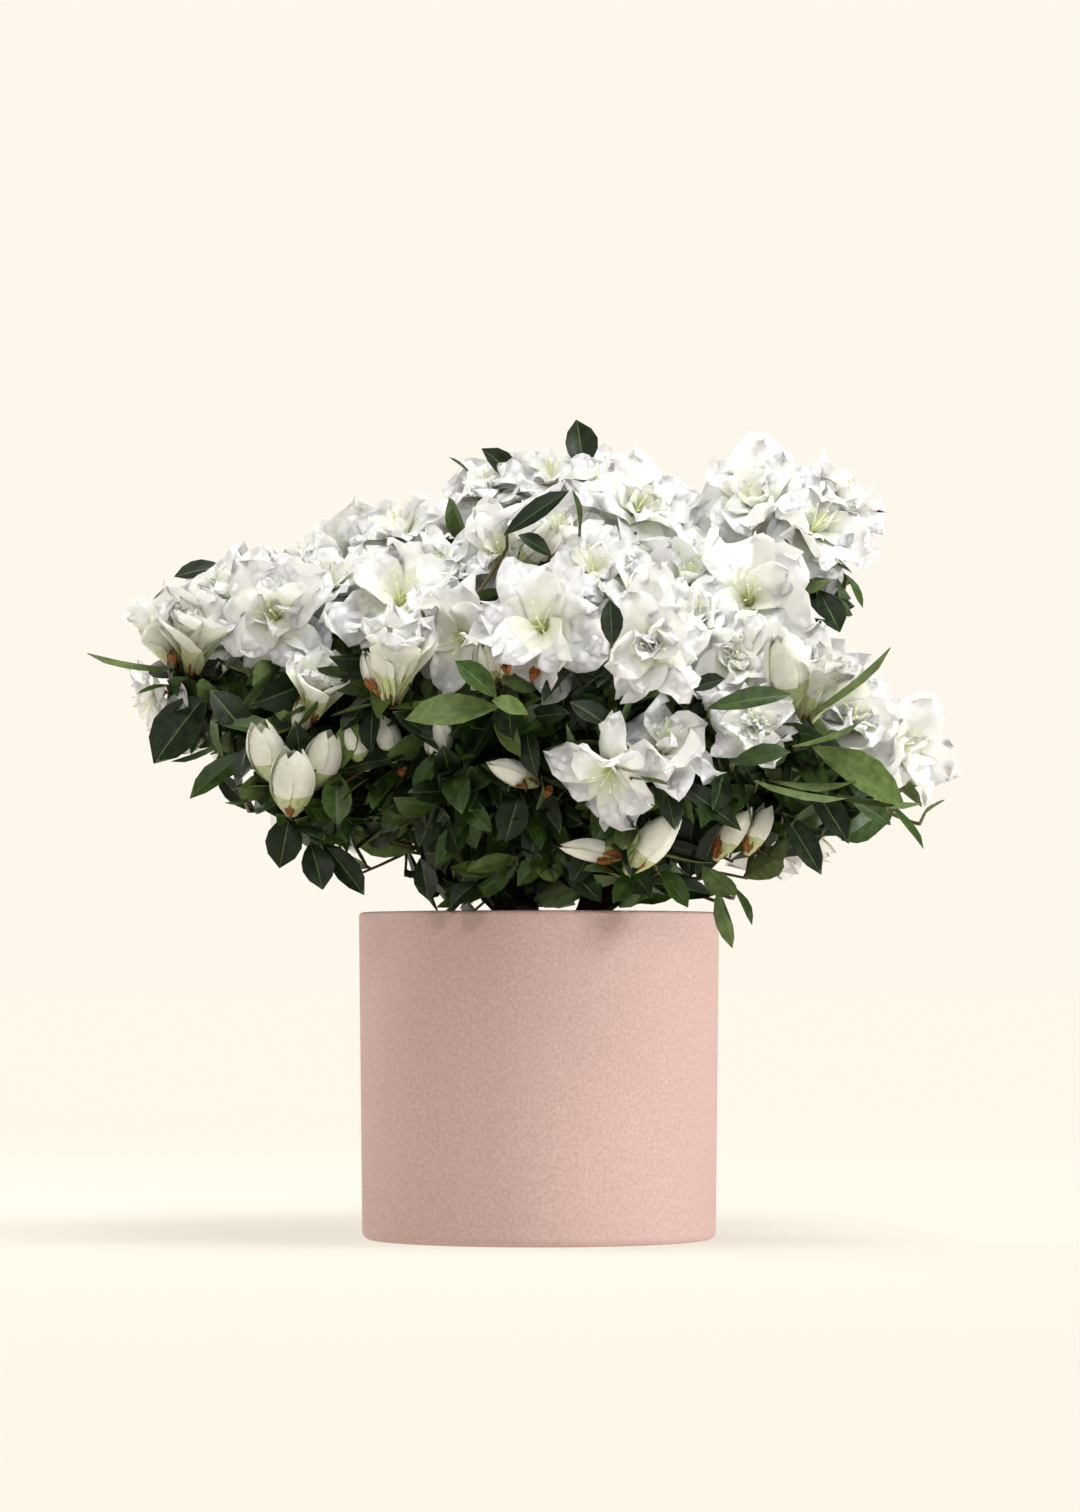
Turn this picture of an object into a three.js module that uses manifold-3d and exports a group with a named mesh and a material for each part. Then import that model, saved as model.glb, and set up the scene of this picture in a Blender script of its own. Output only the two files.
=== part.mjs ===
// A white double azalea in bloom, in a plain cylindrical ceramic pot.
// Millimetres, +Z up. The origin is the centre of the pot's flat underside, and -Y is the plant's best side.
import * as THREE from "three";
import { mergeVertices } from "three/addons/utils/BufferGeometryUtils.js";
import Module from "manifold-3d";

const wasm = await Module();
wasm.setup();

// ---- driving dimensions ----
const gap = 0.3; // clearance between neighbouring solids
const pot = {
  rimRadius: 80,
  footRadius: 78.5,
  height: 145,
  wall: 7,
  floor: 9,
  footRound: 4,
  rimRound: 2,
  sides: 36,
};
const soil = { crownHeight: 127, edgeHeight: 123, flatRadius: 36, sides: 32 };
const heart = new THREE.Vector3(0, 0, 175); // the point that the crown radiates from

// The trunk and the second stem stand on the soil. Their rings go from the flat cut to the top.
const stems = [
  {
    name: "trunk",
    foot: [-7, 2],
    top: [-9, 0, 150],
    footRadius: 14,
    topRadius: 8.5,
    flare: 0.22,
    sides: 10,
    color: 0x4a3326,
  },
  {
    name: "side_stem",
    foot: [17, -2],
    top: [27, -5, 163],
    footRadius: 8,
    topRadius: 5,
    flare: 0.16,
    sides: 8,
    color: 0x50382a,
  },
];

// Boughs leave a stem at a height and taper to their tips. rise is how much of the climb is done half way.
const boughs = [
  { name: "bough_left", stem: "trunk", leaves: 139, tip: [-98, -36, 226], rise: 0.52 },
  { name: "bough_back_left", stem: "trunk", leaves: 143, tip: [-82, 46, 222], rise: 0.58 },
  { name: "bough_front_left", stem: "trunk", leaves: 136, tip: [-42, -66, 224], rise: 0.62 },
  { name: "bough_top_left", stem: "trunk", leaves: 148, tip: [-36, 2, 272], rise: 0.55 },
  { name: "bough_top_back", stem: "trunk", leaves: 146, tip: [0, 42, 272], rise: 0.58 },
  { name: "bough_back", stem: "trunk", leaves: 137, tip: [2, 84, 212], rise: 0.6 },
  { name: "bough_front", stem: "side_stem", leaves: 146, tip: [24, -76, 216], rise: 0.6 },
  { name: "bough_top_right", stem: "side_stem", leaves: 161, tip: [42, -18, 266], rise: 0.55 },
  { name: "bough_upper_right", stem: "side_stem", leaves: 156, tip: [84, 6, 256], rise: 0.5 },
  { name: "bough_right", stem: "side_stem", leaves: 143, tip: [92, -48, 194], rise: 0.5 },
  { name: "bough_back_right", stem: "side_stem", leaves: 150, tip: [86, 52, 214], rise: 0.56 },
];
const bough = { startRadius: 4.6, tipRadius: 2.6, sides: 5, steps: 4 };

// Each spray is one mass of the crown. A row gives its name, the limb that carries it, its centre, its reach, how
// many of its tips end in blooms, in buds and in leaves alone, and how far the whorl is turned, in degrees.
const sprays = [
  ["left_outer", "bough_left", [-134, -22, 254], 42, [3, 2, 2], 20],
  ["left_front", "bough_left", [-104, -62, 262], 44, [3, 1, 2], 80],
  ["left_low", "bough_left", [-100, -66, 194], 44, [0, 3, 3], 0],
  ["centre_left", "bough_front_left", [-54, -92, 264], 44, [3, 1, 1], 10],
  ["front_under", "bough_front_left", [-38, -84, 206], 42, [0, 3, 4], 40],
  ["top_left", "bough_top_left", [-66, 0, 292], 40, [3, 0, 1], 60],
  ["top_centre", "bough_top_left", [-16, -22, 308], 40, [3, 1, 1], 0],
  ["top_front", "bough_top_right", [34, -42, 306], 42, [3, 0, 1], 30],
  ["front", "bough_front", [18, -104, 258], 44, [3, 0, 2], 50],
  ["front_low", "bough_front", [40, -108, 204], 42, [2, 1, 3], 0],
  ["right_centre", "bough_top_right", [80, -70, 280], 40, [2, 0, 1], 0],
  ["right_top", "bough_upper_right", [106, -14, 304], 44, [4, 0, 2], 45],
  ["right_front", "bough_right", [98, -96, 236], 42, [3, 2, 2], 90],
  ["right_outer", "bough_right", [138, -44, 206], 44, [3, 0, 3], 0],
  ["right_low", "bough_right", [108, -58, 190], 37, [0, 2, 4], 0],
  ["back_left", "bough_back_left", [-124, 62, 246], 44, [3, 1, 2], 30],
  ["back_left_top", "bough_back_left", [-70, 74, 286], 42, [3, 0, 1], 0],
  ["back_left_low", "bough_back_left", [-88, 108, 216], 44, [2, 2, 3], 70],
  ["back_top", "bough_top_back", [2, 50, 306], 42, [3, 0, 1], 15],
  ["back", "bough_back", [-24, 126, 258], 46, [3, 1, 2], 0],
  ["back_right_mid", "bough_back", [50, 124, 244], 46, [3, 0, 2], 40],
  ["back_low", "bough_back", [0, 108, 190], 42, [0, 3, 3], 0],
  ["back_right_top", "bough_upper_right", [70, 66, 280], 42, [3, 0, 1], 0],
  ["back_right", "bough_back_right", [112, 60, 236], 44, [3, 0, 2], 20],
  ["back_right_low", "bough_back_right", [94, 100, 192], 42, [1, 2, 3], 0],
  ["rim_left", "trunk", [-52, -42, 172], 36, [0, 0, 4], 0],
  ["rim_right", "side_stem", [66, -40, 160], 36, [0, 0, 4], 0],
].map(([name, limb, at, reach, [blooms, buds, leafy], roll]) => {
  return { name: `spray_${name}`, limb, at: new THREE.Vector3(...at), reach, blooms, buds, leafy, roll };
});
const cellMargin = 0.35; // how far a spray stays inside the planes that bound its space
const potRoom = 1; // how far sprays stay off the pot
const firstSeed = 7919;

// A spray's stem leaves its bough's tip, or its trunk at a share of the height, and tapers to a hub that lies inside
// the spray's centre by a share of its reach. Its twigs leave one behind the other, each a share of its length back.
const stalk = {
  startRadius: 2.3,
  hubRadius: 1.9,
  boughShare: 0.97,
  trunkShare: 0.8,
  hubShare: 0.3,
  firstJoint: 0.97,
  lastJoint: 0.4,
  jointStep: 0.055,
};
const twig = { startRadius: 1, endRadius: 0.8, sunk: { bloom: 4, bud: 4, leafy: 1 } };
const bloom = { radius: 28, depth: 25, tubeRadius: 5, tubeDepth: 12, lobes: 5, heartRadius: 8, heartDepth: 22 };
const bud = { length: 28, radius: 6.2, sides: 5 };
const leaf = { length: 43, widthShare: 0.44, thickness: 1 };
// Leaves stand in a whorl behind each tip: how many, how far behind the twig's end the first one is, and how far
// they lean out from the twig, in degrees. Each next leaf of a whorl is one step further back.
const whorl = {
  bloom: { count: 1, start: 6.5, lean: 80, spread: 26 },
  bud: { count: 2, start: 6.5, lean: 80, spread: 26 },
  leafy: { count: 4, start: 1.5, lean: 46, spread: 24 },
  step: 2.4,
};

const up = new THREE.Vector3(0, 0, 1);
const vector = (list) => new THREE.Vector3(...list);
const radians = (degrees) => (degrees * Math.PI) / 180;

// A repeatable stream of numbers from 0 to 1.
function seededStream(seed) {
  let state = seed;
  return () => {
    state = (state * 16807) % 2147483647;
    return state / 2147483647;
  };
}

// ---- three.js geometry to manifold-3d and back ----
function solidOf(geometry) {
  const bare = new THREE.BufferGeometry();
  bare.setAttribute("position", geometry.getAttribute("position"));
  bare.setIndex(geometry.getIndex());
  const merged = mergeVertices(bare, 1e-4);
  const triVerts = new Uint32Array(merged.index.array);
  const vertProperties = new Float32Array(merged.attributes.position.array);
  return new wasm.Manifold(new wasm.Mesh({ numProp: 3, vertProperties, triVerts }));
}

function geometryOf(solid) {
  const mesh = solid.getMesh();
  const geometry = new THREE.BufferGeometry();
  geometry.setAttribute("position", new THREE.BufferAttribute(mesh.vertProperties, 3));
  geometry.setIndex(new THREE.BufferAttribute(mesh.triVerts, 1));
  geometry.computeVertexNormals();
  return geometry;
}

function largestBody(solid) {
  return solid.decompose().sort((a, b) => b.volume() - a.volume())[0];
}

// The body with its corners rounded to a thousandth of a millimetre, or null where an edge then joins more or fewer
// than two faces.
function roundedBody(solid) {
  const rough = geometryOf(largestBody(solid));
  rough.deleteAttribute("normal");
  const { array } = rough.getAttribute("position");
  array.forEach((value, i) => (array[i] = Math.round(value * 1000) / 1000));
  const geometry = mergeVertices(rough, 1e-4);
  const corners = geometry.getIndex().array;
  const faces = [];
  const edges = new Set();
  let doubled = false;
  for (let i = 0; i < corners.length; i += 3) {
    const face = [corners[i], corners[i + 1], corners[i + 2]];
    if (new Set(face).size < 3) continue;
    faces.push(...face);
    face.forEach((corner, k) => {
      const edge = `${corner} ${face[(k + 1) % 3]}`;
      doubled ||= edges.has(edge);
      edges.add(edge);
    });
  }
  const open = [...edges].some((edge) => !edges.has(edge.split(" ").reverse().join(" ")));
  if (doubled || open) return null;
  geometry.setIndex(faces);
  geometry.computeVertexNormals();
  return geometry;
}

// Moves every vertex of a geometry by a rule that gets and changes a vector.
function reshape(geometry, rule) {
  const position = geometry.getAttribute("position");
  const point = new THREE.Vector3();
  for (let i = 0; i < position.count; i++) {
    rule(point.fromBufferAttribute(position, i));
    position.setXYZ(i, point.x, point.y, point.z);
  }
  return geometry;
}

// A frame whose third axis is the given direction.
function frameAlong(direction, turn = 0) {
  const third = direction.clone().normalize();
  const aside = Math.abs(third.z) > 0.95 ? new THREE.Vector3(1, 0, 0) : up;
  const first = new THREE.Vector3().crossVectors(aside, third);
  first.normalize().applyAxisAngle(third, turn);
  const second = new THREE.Vector3().crossVectors(third, first);
  return { first, second, third };
}

// ---- limbs ----
// A tapering limb: a cylinder whose rings are laid along a curve, with flat ends square to it.
function limbGeometry(curve, startRadius, endRadius, sides, steps, swell = () => 1) {
  const cylinder = new THREE.CylinderGeometry(1, 1, 1, sides, steps);
  return reshape(cylinder, (p) => {
    const share = Math.min(1, Math.max(0, p.y + 0.5));
    const { first, second } = frameAlong(curve.getTangent(share));
    const radius = (startRadius + (endRadius - startRadius) * share) * swell(share, Math.atan2(p.x, p.z));
    const centre = curve.getPoint(share);
    const [across, along] = [p.z * radius, p.x * radius];
    p.copy(centre).addScaledVector(first, across).addScaledVector(second, along);
  });
}

function archedCurve(start, end, rise) {
  const middle = start.clone().lerp(end, 0.5 - 0.35 * (rise - 0.5));
  middle.z = start.z + (end.z - start.z) * rise;
  return new THREE.QuadraticBezierCurve3(start, middle, end);
}

function stemCurve(stem) {
  return new THREE.LineCurve3(new THREE.Vector3(...stem.foot, soil.crownHeight + gap), vector(stem.top));
}

// The stem's rings stay level, so that its foot is a flat cut.
function stemGeometry(stem, grow = 0) {
  const steps = 4;
  const cylinder = new THREE.CylinderGeometry(1, 1, 1, stem.sides, steps);
  const curve = stemCurve(stem);
  return reshape(cylinder, (p) => {
    const share = Math.min(1, Math.max(0, p.y + 0.5));
    const foot = (1 - share) ** 2;
    const lobes = 1 + stem.flare * foot * Math.cos(5 * Math.atan2(p.x, p.z));
    const radius = (stem.topRadius + (stem.footRadius - stem.topRadius) * foot) * lobes + grow;
    const centre = curve.getPoint(share);
    p.set(centre.x + p.z * radius, centre.y + p.x * radius, centre.z + (share - 0.5) * 2 * grow);
  });
}

function boughCurve(row) {
  const stem = stems.find((s) => s.name === row.stem);
  const low = soil.crownHeight + gap;
  const start = stemCurve(stem).getPoint((row.leaves - low) / (stem.top[2] - low));
  return archedCurve(start, vector(row.tip), row.rise);
}

// ---- leaves, buds and blooms, each built in its own frame at the end of a twig ----
// A leaf has eight faces: root, tip, two edges, and a raised and a sunk middle.
function leafGeometry(root, direction, facing, size) {
  const length = leaf.length * size;
  const side = new THREE.Vector3().crossVectors(direction, facing).normalize();
  const normal = new THREE.Vector3().crossVectors(side, direction).normalize();
  return reshape(new THREE.OctahedronGeometry(1, 0), (p) => {
    const middle = p.y === 0 || Math.abs(p.y) < 0.01;
    const along = middle ? length * 0.48 : Math.max(0, p.y) * length;
    const lift = Math.abs(p.x) > 0.5 ? length * 0.05 : 0;
    const thick = p.z * leaf.thickness * 0.5 + lift + (middle ? length * 0.05 : 0);
    const across = p.x * length * leaf.widthShare * 0.5;
    p.copy(root).addScaledVector(direction, along).addScaledVector(side, across).addScaledVector(normal, thick);
  });
}

// A spindle for a furled bud, its root sunk in the twig.
function budGeometry({ root, direction, size: tipSize }, smaller) {
  const { length, radius, sides } = bud;
  const size = tipSize * smaller;
  const profile = [[0, -1.5], [radius * 0.92, length * 0.36], [radius * 0.8, length * 0.68], [0, length]];
  const lathe = new THREE.LatheGeometry(profile.map(([r, h]) => new THREE.Vector2(r * size, h * size)), sides);
  const { first, second, third } = frameAlong(direction);
  return reshape(lathe, (p) => {
    const [across, along, above] = [p.x, p.z, p.y];
    p.copy(root).addScaledVector(first, across).addScaledVector(second, -along).addScaledVector(third, above);
  });
}

// Rings of points skinned into one closed body. A ring of one point is a pole. Where a ring of one point to a lobe
// meets the rim's three, each lobe takes four faces.
function skinnedRings(rings, lobes) {
  const points = rings.flat();
  const starts = rings.map((_, i) => rings.slice(0, i).reduce((sum, ring) => sum + ring.length, 0));
  const faces = [];
  for (let r = 0; r + 1 < rings.length; r++) {
    const at = (ring, i) => starts[ring] + (((i % rings[ring].length) + rings[ring].length) % rings[ring].length);
    const [low, high] = [rings[r].length, rings[r + 1].length];
    for (let k = 0; k < lobes; k++) {
      const rim = (ring) => [at(ring, 3 * k), at(ring, 3 * k + 1), at(ring, 3 * k + 2), at(ring, 3 * k + 3)];
      if (low === 1) faces.push([starts[r], at(r + 1, k + 1), at(r + 1, k)]);
      else if (high === 1) faces.push([at(r, k), at(r, k + 1), starts[r + 1]]);
      else {
        const widens = high > low;
        const [a, b] = widens ? [at(r, k), at(r, k + 1)] : [at(r + 1, k), at(r + 1, k + 1)];
        const [n, s, t, m] = rim(widens ? r + 1 : r);
        const lobe = [[a, s, n], [a, t, s], [a, b, t], [b, m, t]];
        faces.push(...(widens ? lobe : lobe.map(([x, y, z]) => [x, z, y])));
      }
    }
  }
  const geometry = new THREE.BufferGeometry().setFromPoints(points);
  geometry.setIndex(faces.flat());
  return geometry;
}

// A five-lobed funnel: the tube's base, its mouth, a waved rim, the throat, and the small petals that stand in it.
function bloomGeometry({ root, direction, size, turn }, random, pullIn) {
  const { radius, depth, tubeRadius, tubeDepth, lobes, heartRadius, heartDepth } = bloom;
  const throatDepth = tubeDepth + 3;
  const { first, second, third } = frameAlong(direction, turn);
  const place = (reach, share, above) => {
    const angle = share * 2 * Math.PI;
    return root
      .clone()
      .addScaledVector(first, Math.cos(angle) * reach * size)
      .addScaledVector(second, Math.sin(angle) * reach * size)
      .addScaledVector(third, above * size);
  };
  const throat = place(0, 0, throatDepth);
  const mouth = [];
  const rim = [];
  const heartRing = [];
  for (let k = 0; k < lobes; k++) {
    mouth.push(place(tubeRadius, k / lobes, tubeDepth));
    heartRing.push(place(heartRadius, k / lobes, throatDepth));
    rim.push(place(radius * 0.72, k / lobes, depth - 1));
    for (const share of [0.28, 0.72]) {
      rim.push(place(radius * (0.95 + 0.12 * random()), (k + share) / lobes, depth + (random() - 0.6) * 9));
    }
  }
  rim.forEach((point) => pullIn(point, throat));
  return skinnedRings([[place(0, 0, -1.5)], mouth, rim, heartRing, [place(0, 0, heartDepth)]], lobes);
}

// ---- each spray's own space ----
// Planes between neighbouring sprays, set by their reaches, share out the crown in convex cells.
function roomInCell(index, point) {
  const own = sprays[index];
  const power = (row) => point.distanceToSquared(row.at) - row.reach ** 2;
  return sprays.reduce((room, other, i) => {
    if (i === index) return room;
    const between = own.at.distanceTo(other.at);
    return Math.min(room, (power(other) - power(own)) / (2 * between));
  }, Infinity);
}

function fits(index, geometry) {
  const position = geometry.getAttribute("position");
  const point = new THREE.Vector3();
  for (let i = 0; i < position.count; i++) {
    if (roomInCell(index, point.fromBufferAttribute(position, i)) < cellMargin) return false;
  }
  return true;
}

// ---- the tips of a spray, by one seeded rule ----
// Blooms ring the way outwards, buds ring a lower way, and leafy tips hang round the lowest.
function sprayTips(row, random) {
  const outward = row.at.clone().sub(heart).normalize();
  const level = new THREE.Vector3(outward.x, outward.y, 0).normalize();
  const ways = {
    bloom: { count: row.blooms, axis: outward, tilt: [0, 0, 36, 44, 50][row.blooms] },
    bud: { count: row.buds, axis: level.clone().addScaledVector(up, 0.25).normalize(), tilt: 58 },
    leafy: { count: row.leafy, axis: level.clone().addScaledVector(up, -0.55).normalize(), tilt: 62 },
  };
  const tips = [];
  for (const [kind, way] of Object.entries(ways)) {
    const { first, second, third } = frameAlong(way.axis);
    for (let k = 0; k < way.count; k++) {
      const around = radians(row.roll) + ((k + 0.3 * random()) / way.count) * 2 * Math.PI;
      const tilt = radians(way.tilt * (0.85 + 0.3 * random()));
      const direction = third.clone().multiplyScalar(Math.cos(tilt));
      direction.addScaledVector(first, Math.sin(tilt) * Math.cos(around));
      direction.addScaledVector(second, Math.sin(tilt) * Math.sin(around));
      tips.push({ kind, direction, size: 0.88 + 0.24 * random(), turn: random() * 2 * Math.PI });
    }
  }
  return tips;
}

// ---- the model ----
const group = new THREE.Group();
function addPart(name, geometry, color, roughness) {
  const mesh = new THREE.Mesh(geometry, new THREE.MeshStandardMaterial({ color, roughness, metalness: 0 }));
  mesh.name = name;
  group.add(mesh);
}

function roundedCorner(x, z, radius, fromAngle, steps = 2) {
  return Array.from({ length: steps + 1 }, (_, i) => {
    const angle = fromAngle + (i / steps) * (Math.PI / 2);
    return new THREE.Vector2(x + radius * Math.cos(angle), z + radius * Math.sin(angle));
  });
}

function makePot() {
  const { rimRadius, footRadius, height, wall, floor, footRound, rimRound, sides } = pot;
  const innerFoot = footRadius - wall;
  const innerRim = rimRadius - wall;
  const profile = [
    new THREE.Vector2(0, 0),
    ...roundedCorner(footRadius - footRound, footRound, footRound, -Math.PI / 2),
    ...roundedCorner(rimRadius - rimRound, height - rimRound, rimRound, 0),
    ...roundedCorner(innerRim + rimRound, height - rimRound, rimRound, Math.PI / 2),
    new THREE.Vector2(innerFoot, floor),
    new THREE.Vector2(0, floor),
  ];
  const lathe = new THREE.LatheGeometry(profile, sides);
  lathe.rotateX(Math.PI / 2);
  addPart("pot", geometryOf(solidOf(lathe)), 0xdcb9ad, 0.75);
}

function makeSoil() {
  const innerRadius = (z) => {
    const share = (z - pot.floor) / (pot.height - pot.floor);
    return pot.footRadius - pot.wall + (pot.rimRadius - pot.footRadius) * share - 3 * gap;
  };
  const bottom = pot.floor + gap;
  const profile = [
    new THREE.Vector2(0, bottom),
    new THREE.Vector2(innerRadius(bottom), bottom),
    new THREE.Vector2(innerRadius(soil.edgeHeight), soil.edgeHeight),
    new THREE.Vector2(soil.flatRadius, soil.crownHeight),
    new THREE.Vector2(0, soil.crownHeight),
  ];
  const lathe = new THREE.LatheGeometry(profile, soil.sides);
  lathe.rotateX(Math.PI / 2);
  addPart("potting_soil", geometryOf(solidOf(lathe)), 0x3a2a20, 1);
}

makePot();
makeSoil();

// Each limb is cut clear of those made before it, by their copies grown by the gap.
const grownLimbs = new Map();
for (const stem of stems) {
  grownLimbs.set(stem.name, solidOf(stemGeometry(stem, gap)));
  addPart(stem.name, geometryOf(solidOf(stemGeometry(stem))), stem.color, 0.9);
}
const boughCurves = new Map();
for (const row of boughs) {
  const curve = boughCurve(row);
  boughCurves.set(row.name, curve);
  const shape = (grow) => {
    const radii = [bough.startRadius + grow, bough.tipRadius + grow];
    return solidOf(limbGeometry(curve, ...radii, bough.sides, bough.steps));
  };
  const earlier = wasm.Manifold.union([...grownLimbs.values()]);
  const cut = largestBody(shape(0).subtract(earlier));
  grownLimbs.set(row.name, shape(gap));
  addPart(row.name, geometryOf(cut), 0x553b2c, 0.9);
}

// Every spray's stem runs from its limb to the spray's hub, cut clear of the limbs and the earlier stems.
const sprayStems = sprays.map((row) => {
  const outward = row.at.clone().sub(heart).normalize();
  const hub = row.at.clone().addScaledVector(outward, -stalk.hubShare * row.reach);
  const parent = boughCurves.get(row.limb);
  const stem = stems.find((s) => s.name === row.limb);
  const start = parent ? parent.getPoint(stalk.boughShare) : stemCurve(stem).getPoint(stalk.trunkShare);
  const curve = archedCurve(start, hub, 0.55);
  const shape = (grow) => {
    return solidOf(limbGeometry(curve, stalk.startRadius + grow, stalk.hubRadius + grow, 4, 2));
  };
  return { curve, hub, body: shape(0), grown: shape(gap) };
});
sprayStems.forEach((stem, i) => {
  const earlier = sprayStems.slice(0, i).map((s) => s.grown);
  const others = wasm.Manifold.union([...grownLimbs.values(), ...earlier]);
  stem.body = largestBody(stem.body.subtract(others));
});

// Nothing of a spray reaches into the pot or touches its wall.
const clearRadius = pot.rimRadius + potRoom;
const potEnvelope = new THREE.CylinderGeometry(clearRadius, clearRadius, pot.height, pot.sides);
potEnvelope.rotateX(Math.PI / 2).translate(0, 0, pot.height / 2 + potRoom);
const potSpace = solidOf(potEnvelope);

function makeSpray(row, index) {
  const random = seededStream(firstSeed * (index + 1));
  const stem = sprayStems[index];
  const others = sprayStems.filter((s) => s !== stem).map((s) => s.grown);
  const obstacles = wasm.Manifold.union([potSpace, ...grownLimbs.values(), ...others]);
  const wood = [stem.body];
  const soft = [];
  let whole = stem.body;
  // Fuses a piece on if it stays in the spray's space, clears the limbs and what it may not touch, and leaves one
  // closed body.
  const fuse = (geometry, keepOff) => {
    if (!fits(index, geometry)) return null;
    const solid = solidOf(geometry);
    if ([obstacles, ...keepOff].some((piece) => !solid.intersect(piece).isEmpty())) return null;
    const larger = whole.add(solid);
    if (larger.decompose().length > 1 || !roundedBody(larger)) return null;
    whole = larger;
    return solid;
  };
  // Grows the first of several shapes that clears everything but its own twig.
  const grow = (host, shapes) => {
    const neighbours = [...soft, ...wood.filter((piece) => piece !== host)];
    for (const shape of shapes) {
      const piece = fuse(shape, neighbours);
      if (piece) return soft.push(piece);
    }
    return 0;
  };
  const stands = { bloom: bloom.depth, bud: bud.length * 0.8, leafy: leaf.length * 0.75 };
  const tips = sprayTips(row, random).map((tip) => {
    const stand = stands[tip.kind] * tip.size;
    const root = row.at.clone().addScaledVector(tip.direction, row.reach - stand);
    for (let i = 0; i < 20 && roomInCell(index, root) < 3; i++) root.lerp(stem.hub, 0.12);
    return { ...tip, root, middle: root.clone().addScaledVector(tip.direction, stand * 0.6) };
  });
  const flowering = tips.filter((tip) => tip.kind !== "leafy");
  let joint = stalk.firstJoint;
  for (const tip of tips) {
    tip.end = tip.root.clone().addScaledVector(tip.direction, twig.sunk[tip.kind]);
    for (let share = joint; share > stalk.lastJoint && !tip.twig; share -= stalk.jointStep) {
      const line = new THREE.LineCurve3(stem.curve.getPoint(share), tip.end);
      tip.twig = fuse(limbGeometry(line, twig.startRadius, twig.endRadius, 3, 1), soft);
      tip.back = line.v1.clone().sub(tip.end).normalize();
    }
    if (!tip.twig) continue;
    joint -= stalk.jointStep;
    wood.push(tip.twig);
    // Flowering tips share the spray's space between them, so that each bloom is pulled in to its own part of it.
    const room = (point) =>
      flowering.reduce((least, other) => {
        if (other === tip) return least;
        const between = tip.middle.distanceTo(other.middle);
        const gain = point.distanceToSquared(other.middle) - point.distanceToSquared(tip.middle);
        return Math.min(least, gain / (2 * between));
      }, roomInCell(index, point));
    const pullIn = (point, towards) => {
      for (let i = 0; i < 40 && room(point) < cellMargin; i++) point.lerp(towards, 0.06);
    };
    const shapes = { bloom: () => bloomGeometry(tip, random, pullIn), bud: (size) => budGeometry(tip, size) };
    if (shapes[tip.kind]) grow(tip.twig, [1, 0.85, 0.7].map(shapes[tip.kind]));
  }
  for (const tip of tips.filter((t) => t.twig)) {
    const { count, start, lean, spread } = whorl[tip.kind];
    for (let k = 0; k < count; k++) {
      const around = tip.turn + ((k + 0.4 * random()) / count) * 2 * Math.PI;
      const out = lean + spread * random();
      const size = 0.8 + 0.4 * random();
      const foot = tip.end.clone().addScaledVector(tip.back, start + whorl.step * k);
      const { first, third } = frameAlong(tip.direction, around);
      const shapes = [[1, 0], [0.85, 20], [0.7, -20], [0.7, 40]].map(([smaller, turned]) => {
        const angle = radians(out + turned);
        const way = third.clone().multiplyScalar(Math.cos(angle)).addScaledVector(first, Math.sin(angle));
        return leafGeometry(foot, way, third, size * smaller);
      });
      grow(tip.twig, shapes);
    }
  }
  const geometry = roundedBody(whole.simplify(0.03)) ?? roundedBody(whole);
  addPart(row.name, geometry, row.blooms ? 0xe9eae2 : 0x2c3d1d, 0.7);
}
sprays.forEach(makeSpray);

export default group;
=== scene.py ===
import math

import bpy
import numpy as np
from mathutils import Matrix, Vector


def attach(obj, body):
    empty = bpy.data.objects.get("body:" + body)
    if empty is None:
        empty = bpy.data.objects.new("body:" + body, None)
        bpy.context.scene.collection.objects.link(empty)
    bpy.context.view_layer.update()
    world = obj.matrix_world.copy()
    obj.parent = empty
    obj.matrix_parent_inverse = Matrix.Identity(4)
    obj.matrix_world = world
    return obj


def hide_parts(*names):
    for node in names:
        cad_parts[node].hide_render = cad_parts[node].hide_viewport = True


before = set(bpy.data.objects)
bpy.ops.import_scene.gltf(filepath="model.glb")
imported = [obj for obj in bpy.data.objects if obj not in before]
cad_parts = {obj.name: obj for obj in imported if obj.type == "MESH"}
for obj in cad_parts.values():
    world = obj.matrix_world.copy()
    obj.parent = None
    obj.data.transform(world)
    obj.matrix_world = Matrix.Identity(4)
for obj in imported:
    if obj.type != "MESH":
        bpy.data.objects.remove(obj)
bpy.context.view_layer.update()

mm = 0.001
up = np.array([0.0, 0.0, 1.0])


def unit(vector):
    return vector / np.linalg.norm(vector)


def seededStream(seed):
    state = seed

    def draw():
        nonlocal state
        state = state * 16807 % 2147483647
        return state / 2147483647

    return draw


def frameAlong(direction, turn=0.0):
    third = unit(direction)
    aside = np.array([1.0, 0.0, 0.0]) if abs(third[2]) > 0.95 else up
    first = unit(np.cross(aside, third))
    second = np.cross(third, first)
    turned = first * math.cos(turn) + second * math.sin(turn)
    return turned, np.cross(third, turned), third


def archPoint(start, middle, end, share):
    return start * (1 - share) ** 2 + middle * 2 * share * (1 - share) + end * share**2


def archedCurve(start, end, rise):
    middle = start + (end - start) * (0.5 - 0.35 * (rise - 0.5))
    middle[2] = start[2] + (end[2] - start[2]) * rise
    return lambda share: archPoint(start, middle, end, share)


def linear(hexColour):  # sRGB hex to linear, with alpha
    parts = [int(hexColour[i : i + 2], 16) / 255 for i in (1, 3, 5)]
    return (*[c / 12.92 if c <= 0.04045 else ((c + 0.055) / 1.055) ** 2.4 for c in parts], 1.0)


# level, with a long lens, as far off as the ellipses of the pot say
shot = {
    "distance": 2300,  # from the pot's axis
    "height": 115,
    "pixelsPerMm": 2.25,  # at the pot's axis
    "axisPixel": 539,
    "horizonPixel": 980,
    "imageWidth": 1080,
    "imageHeight": 1512,
    "sensor": 36,
}


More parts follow.
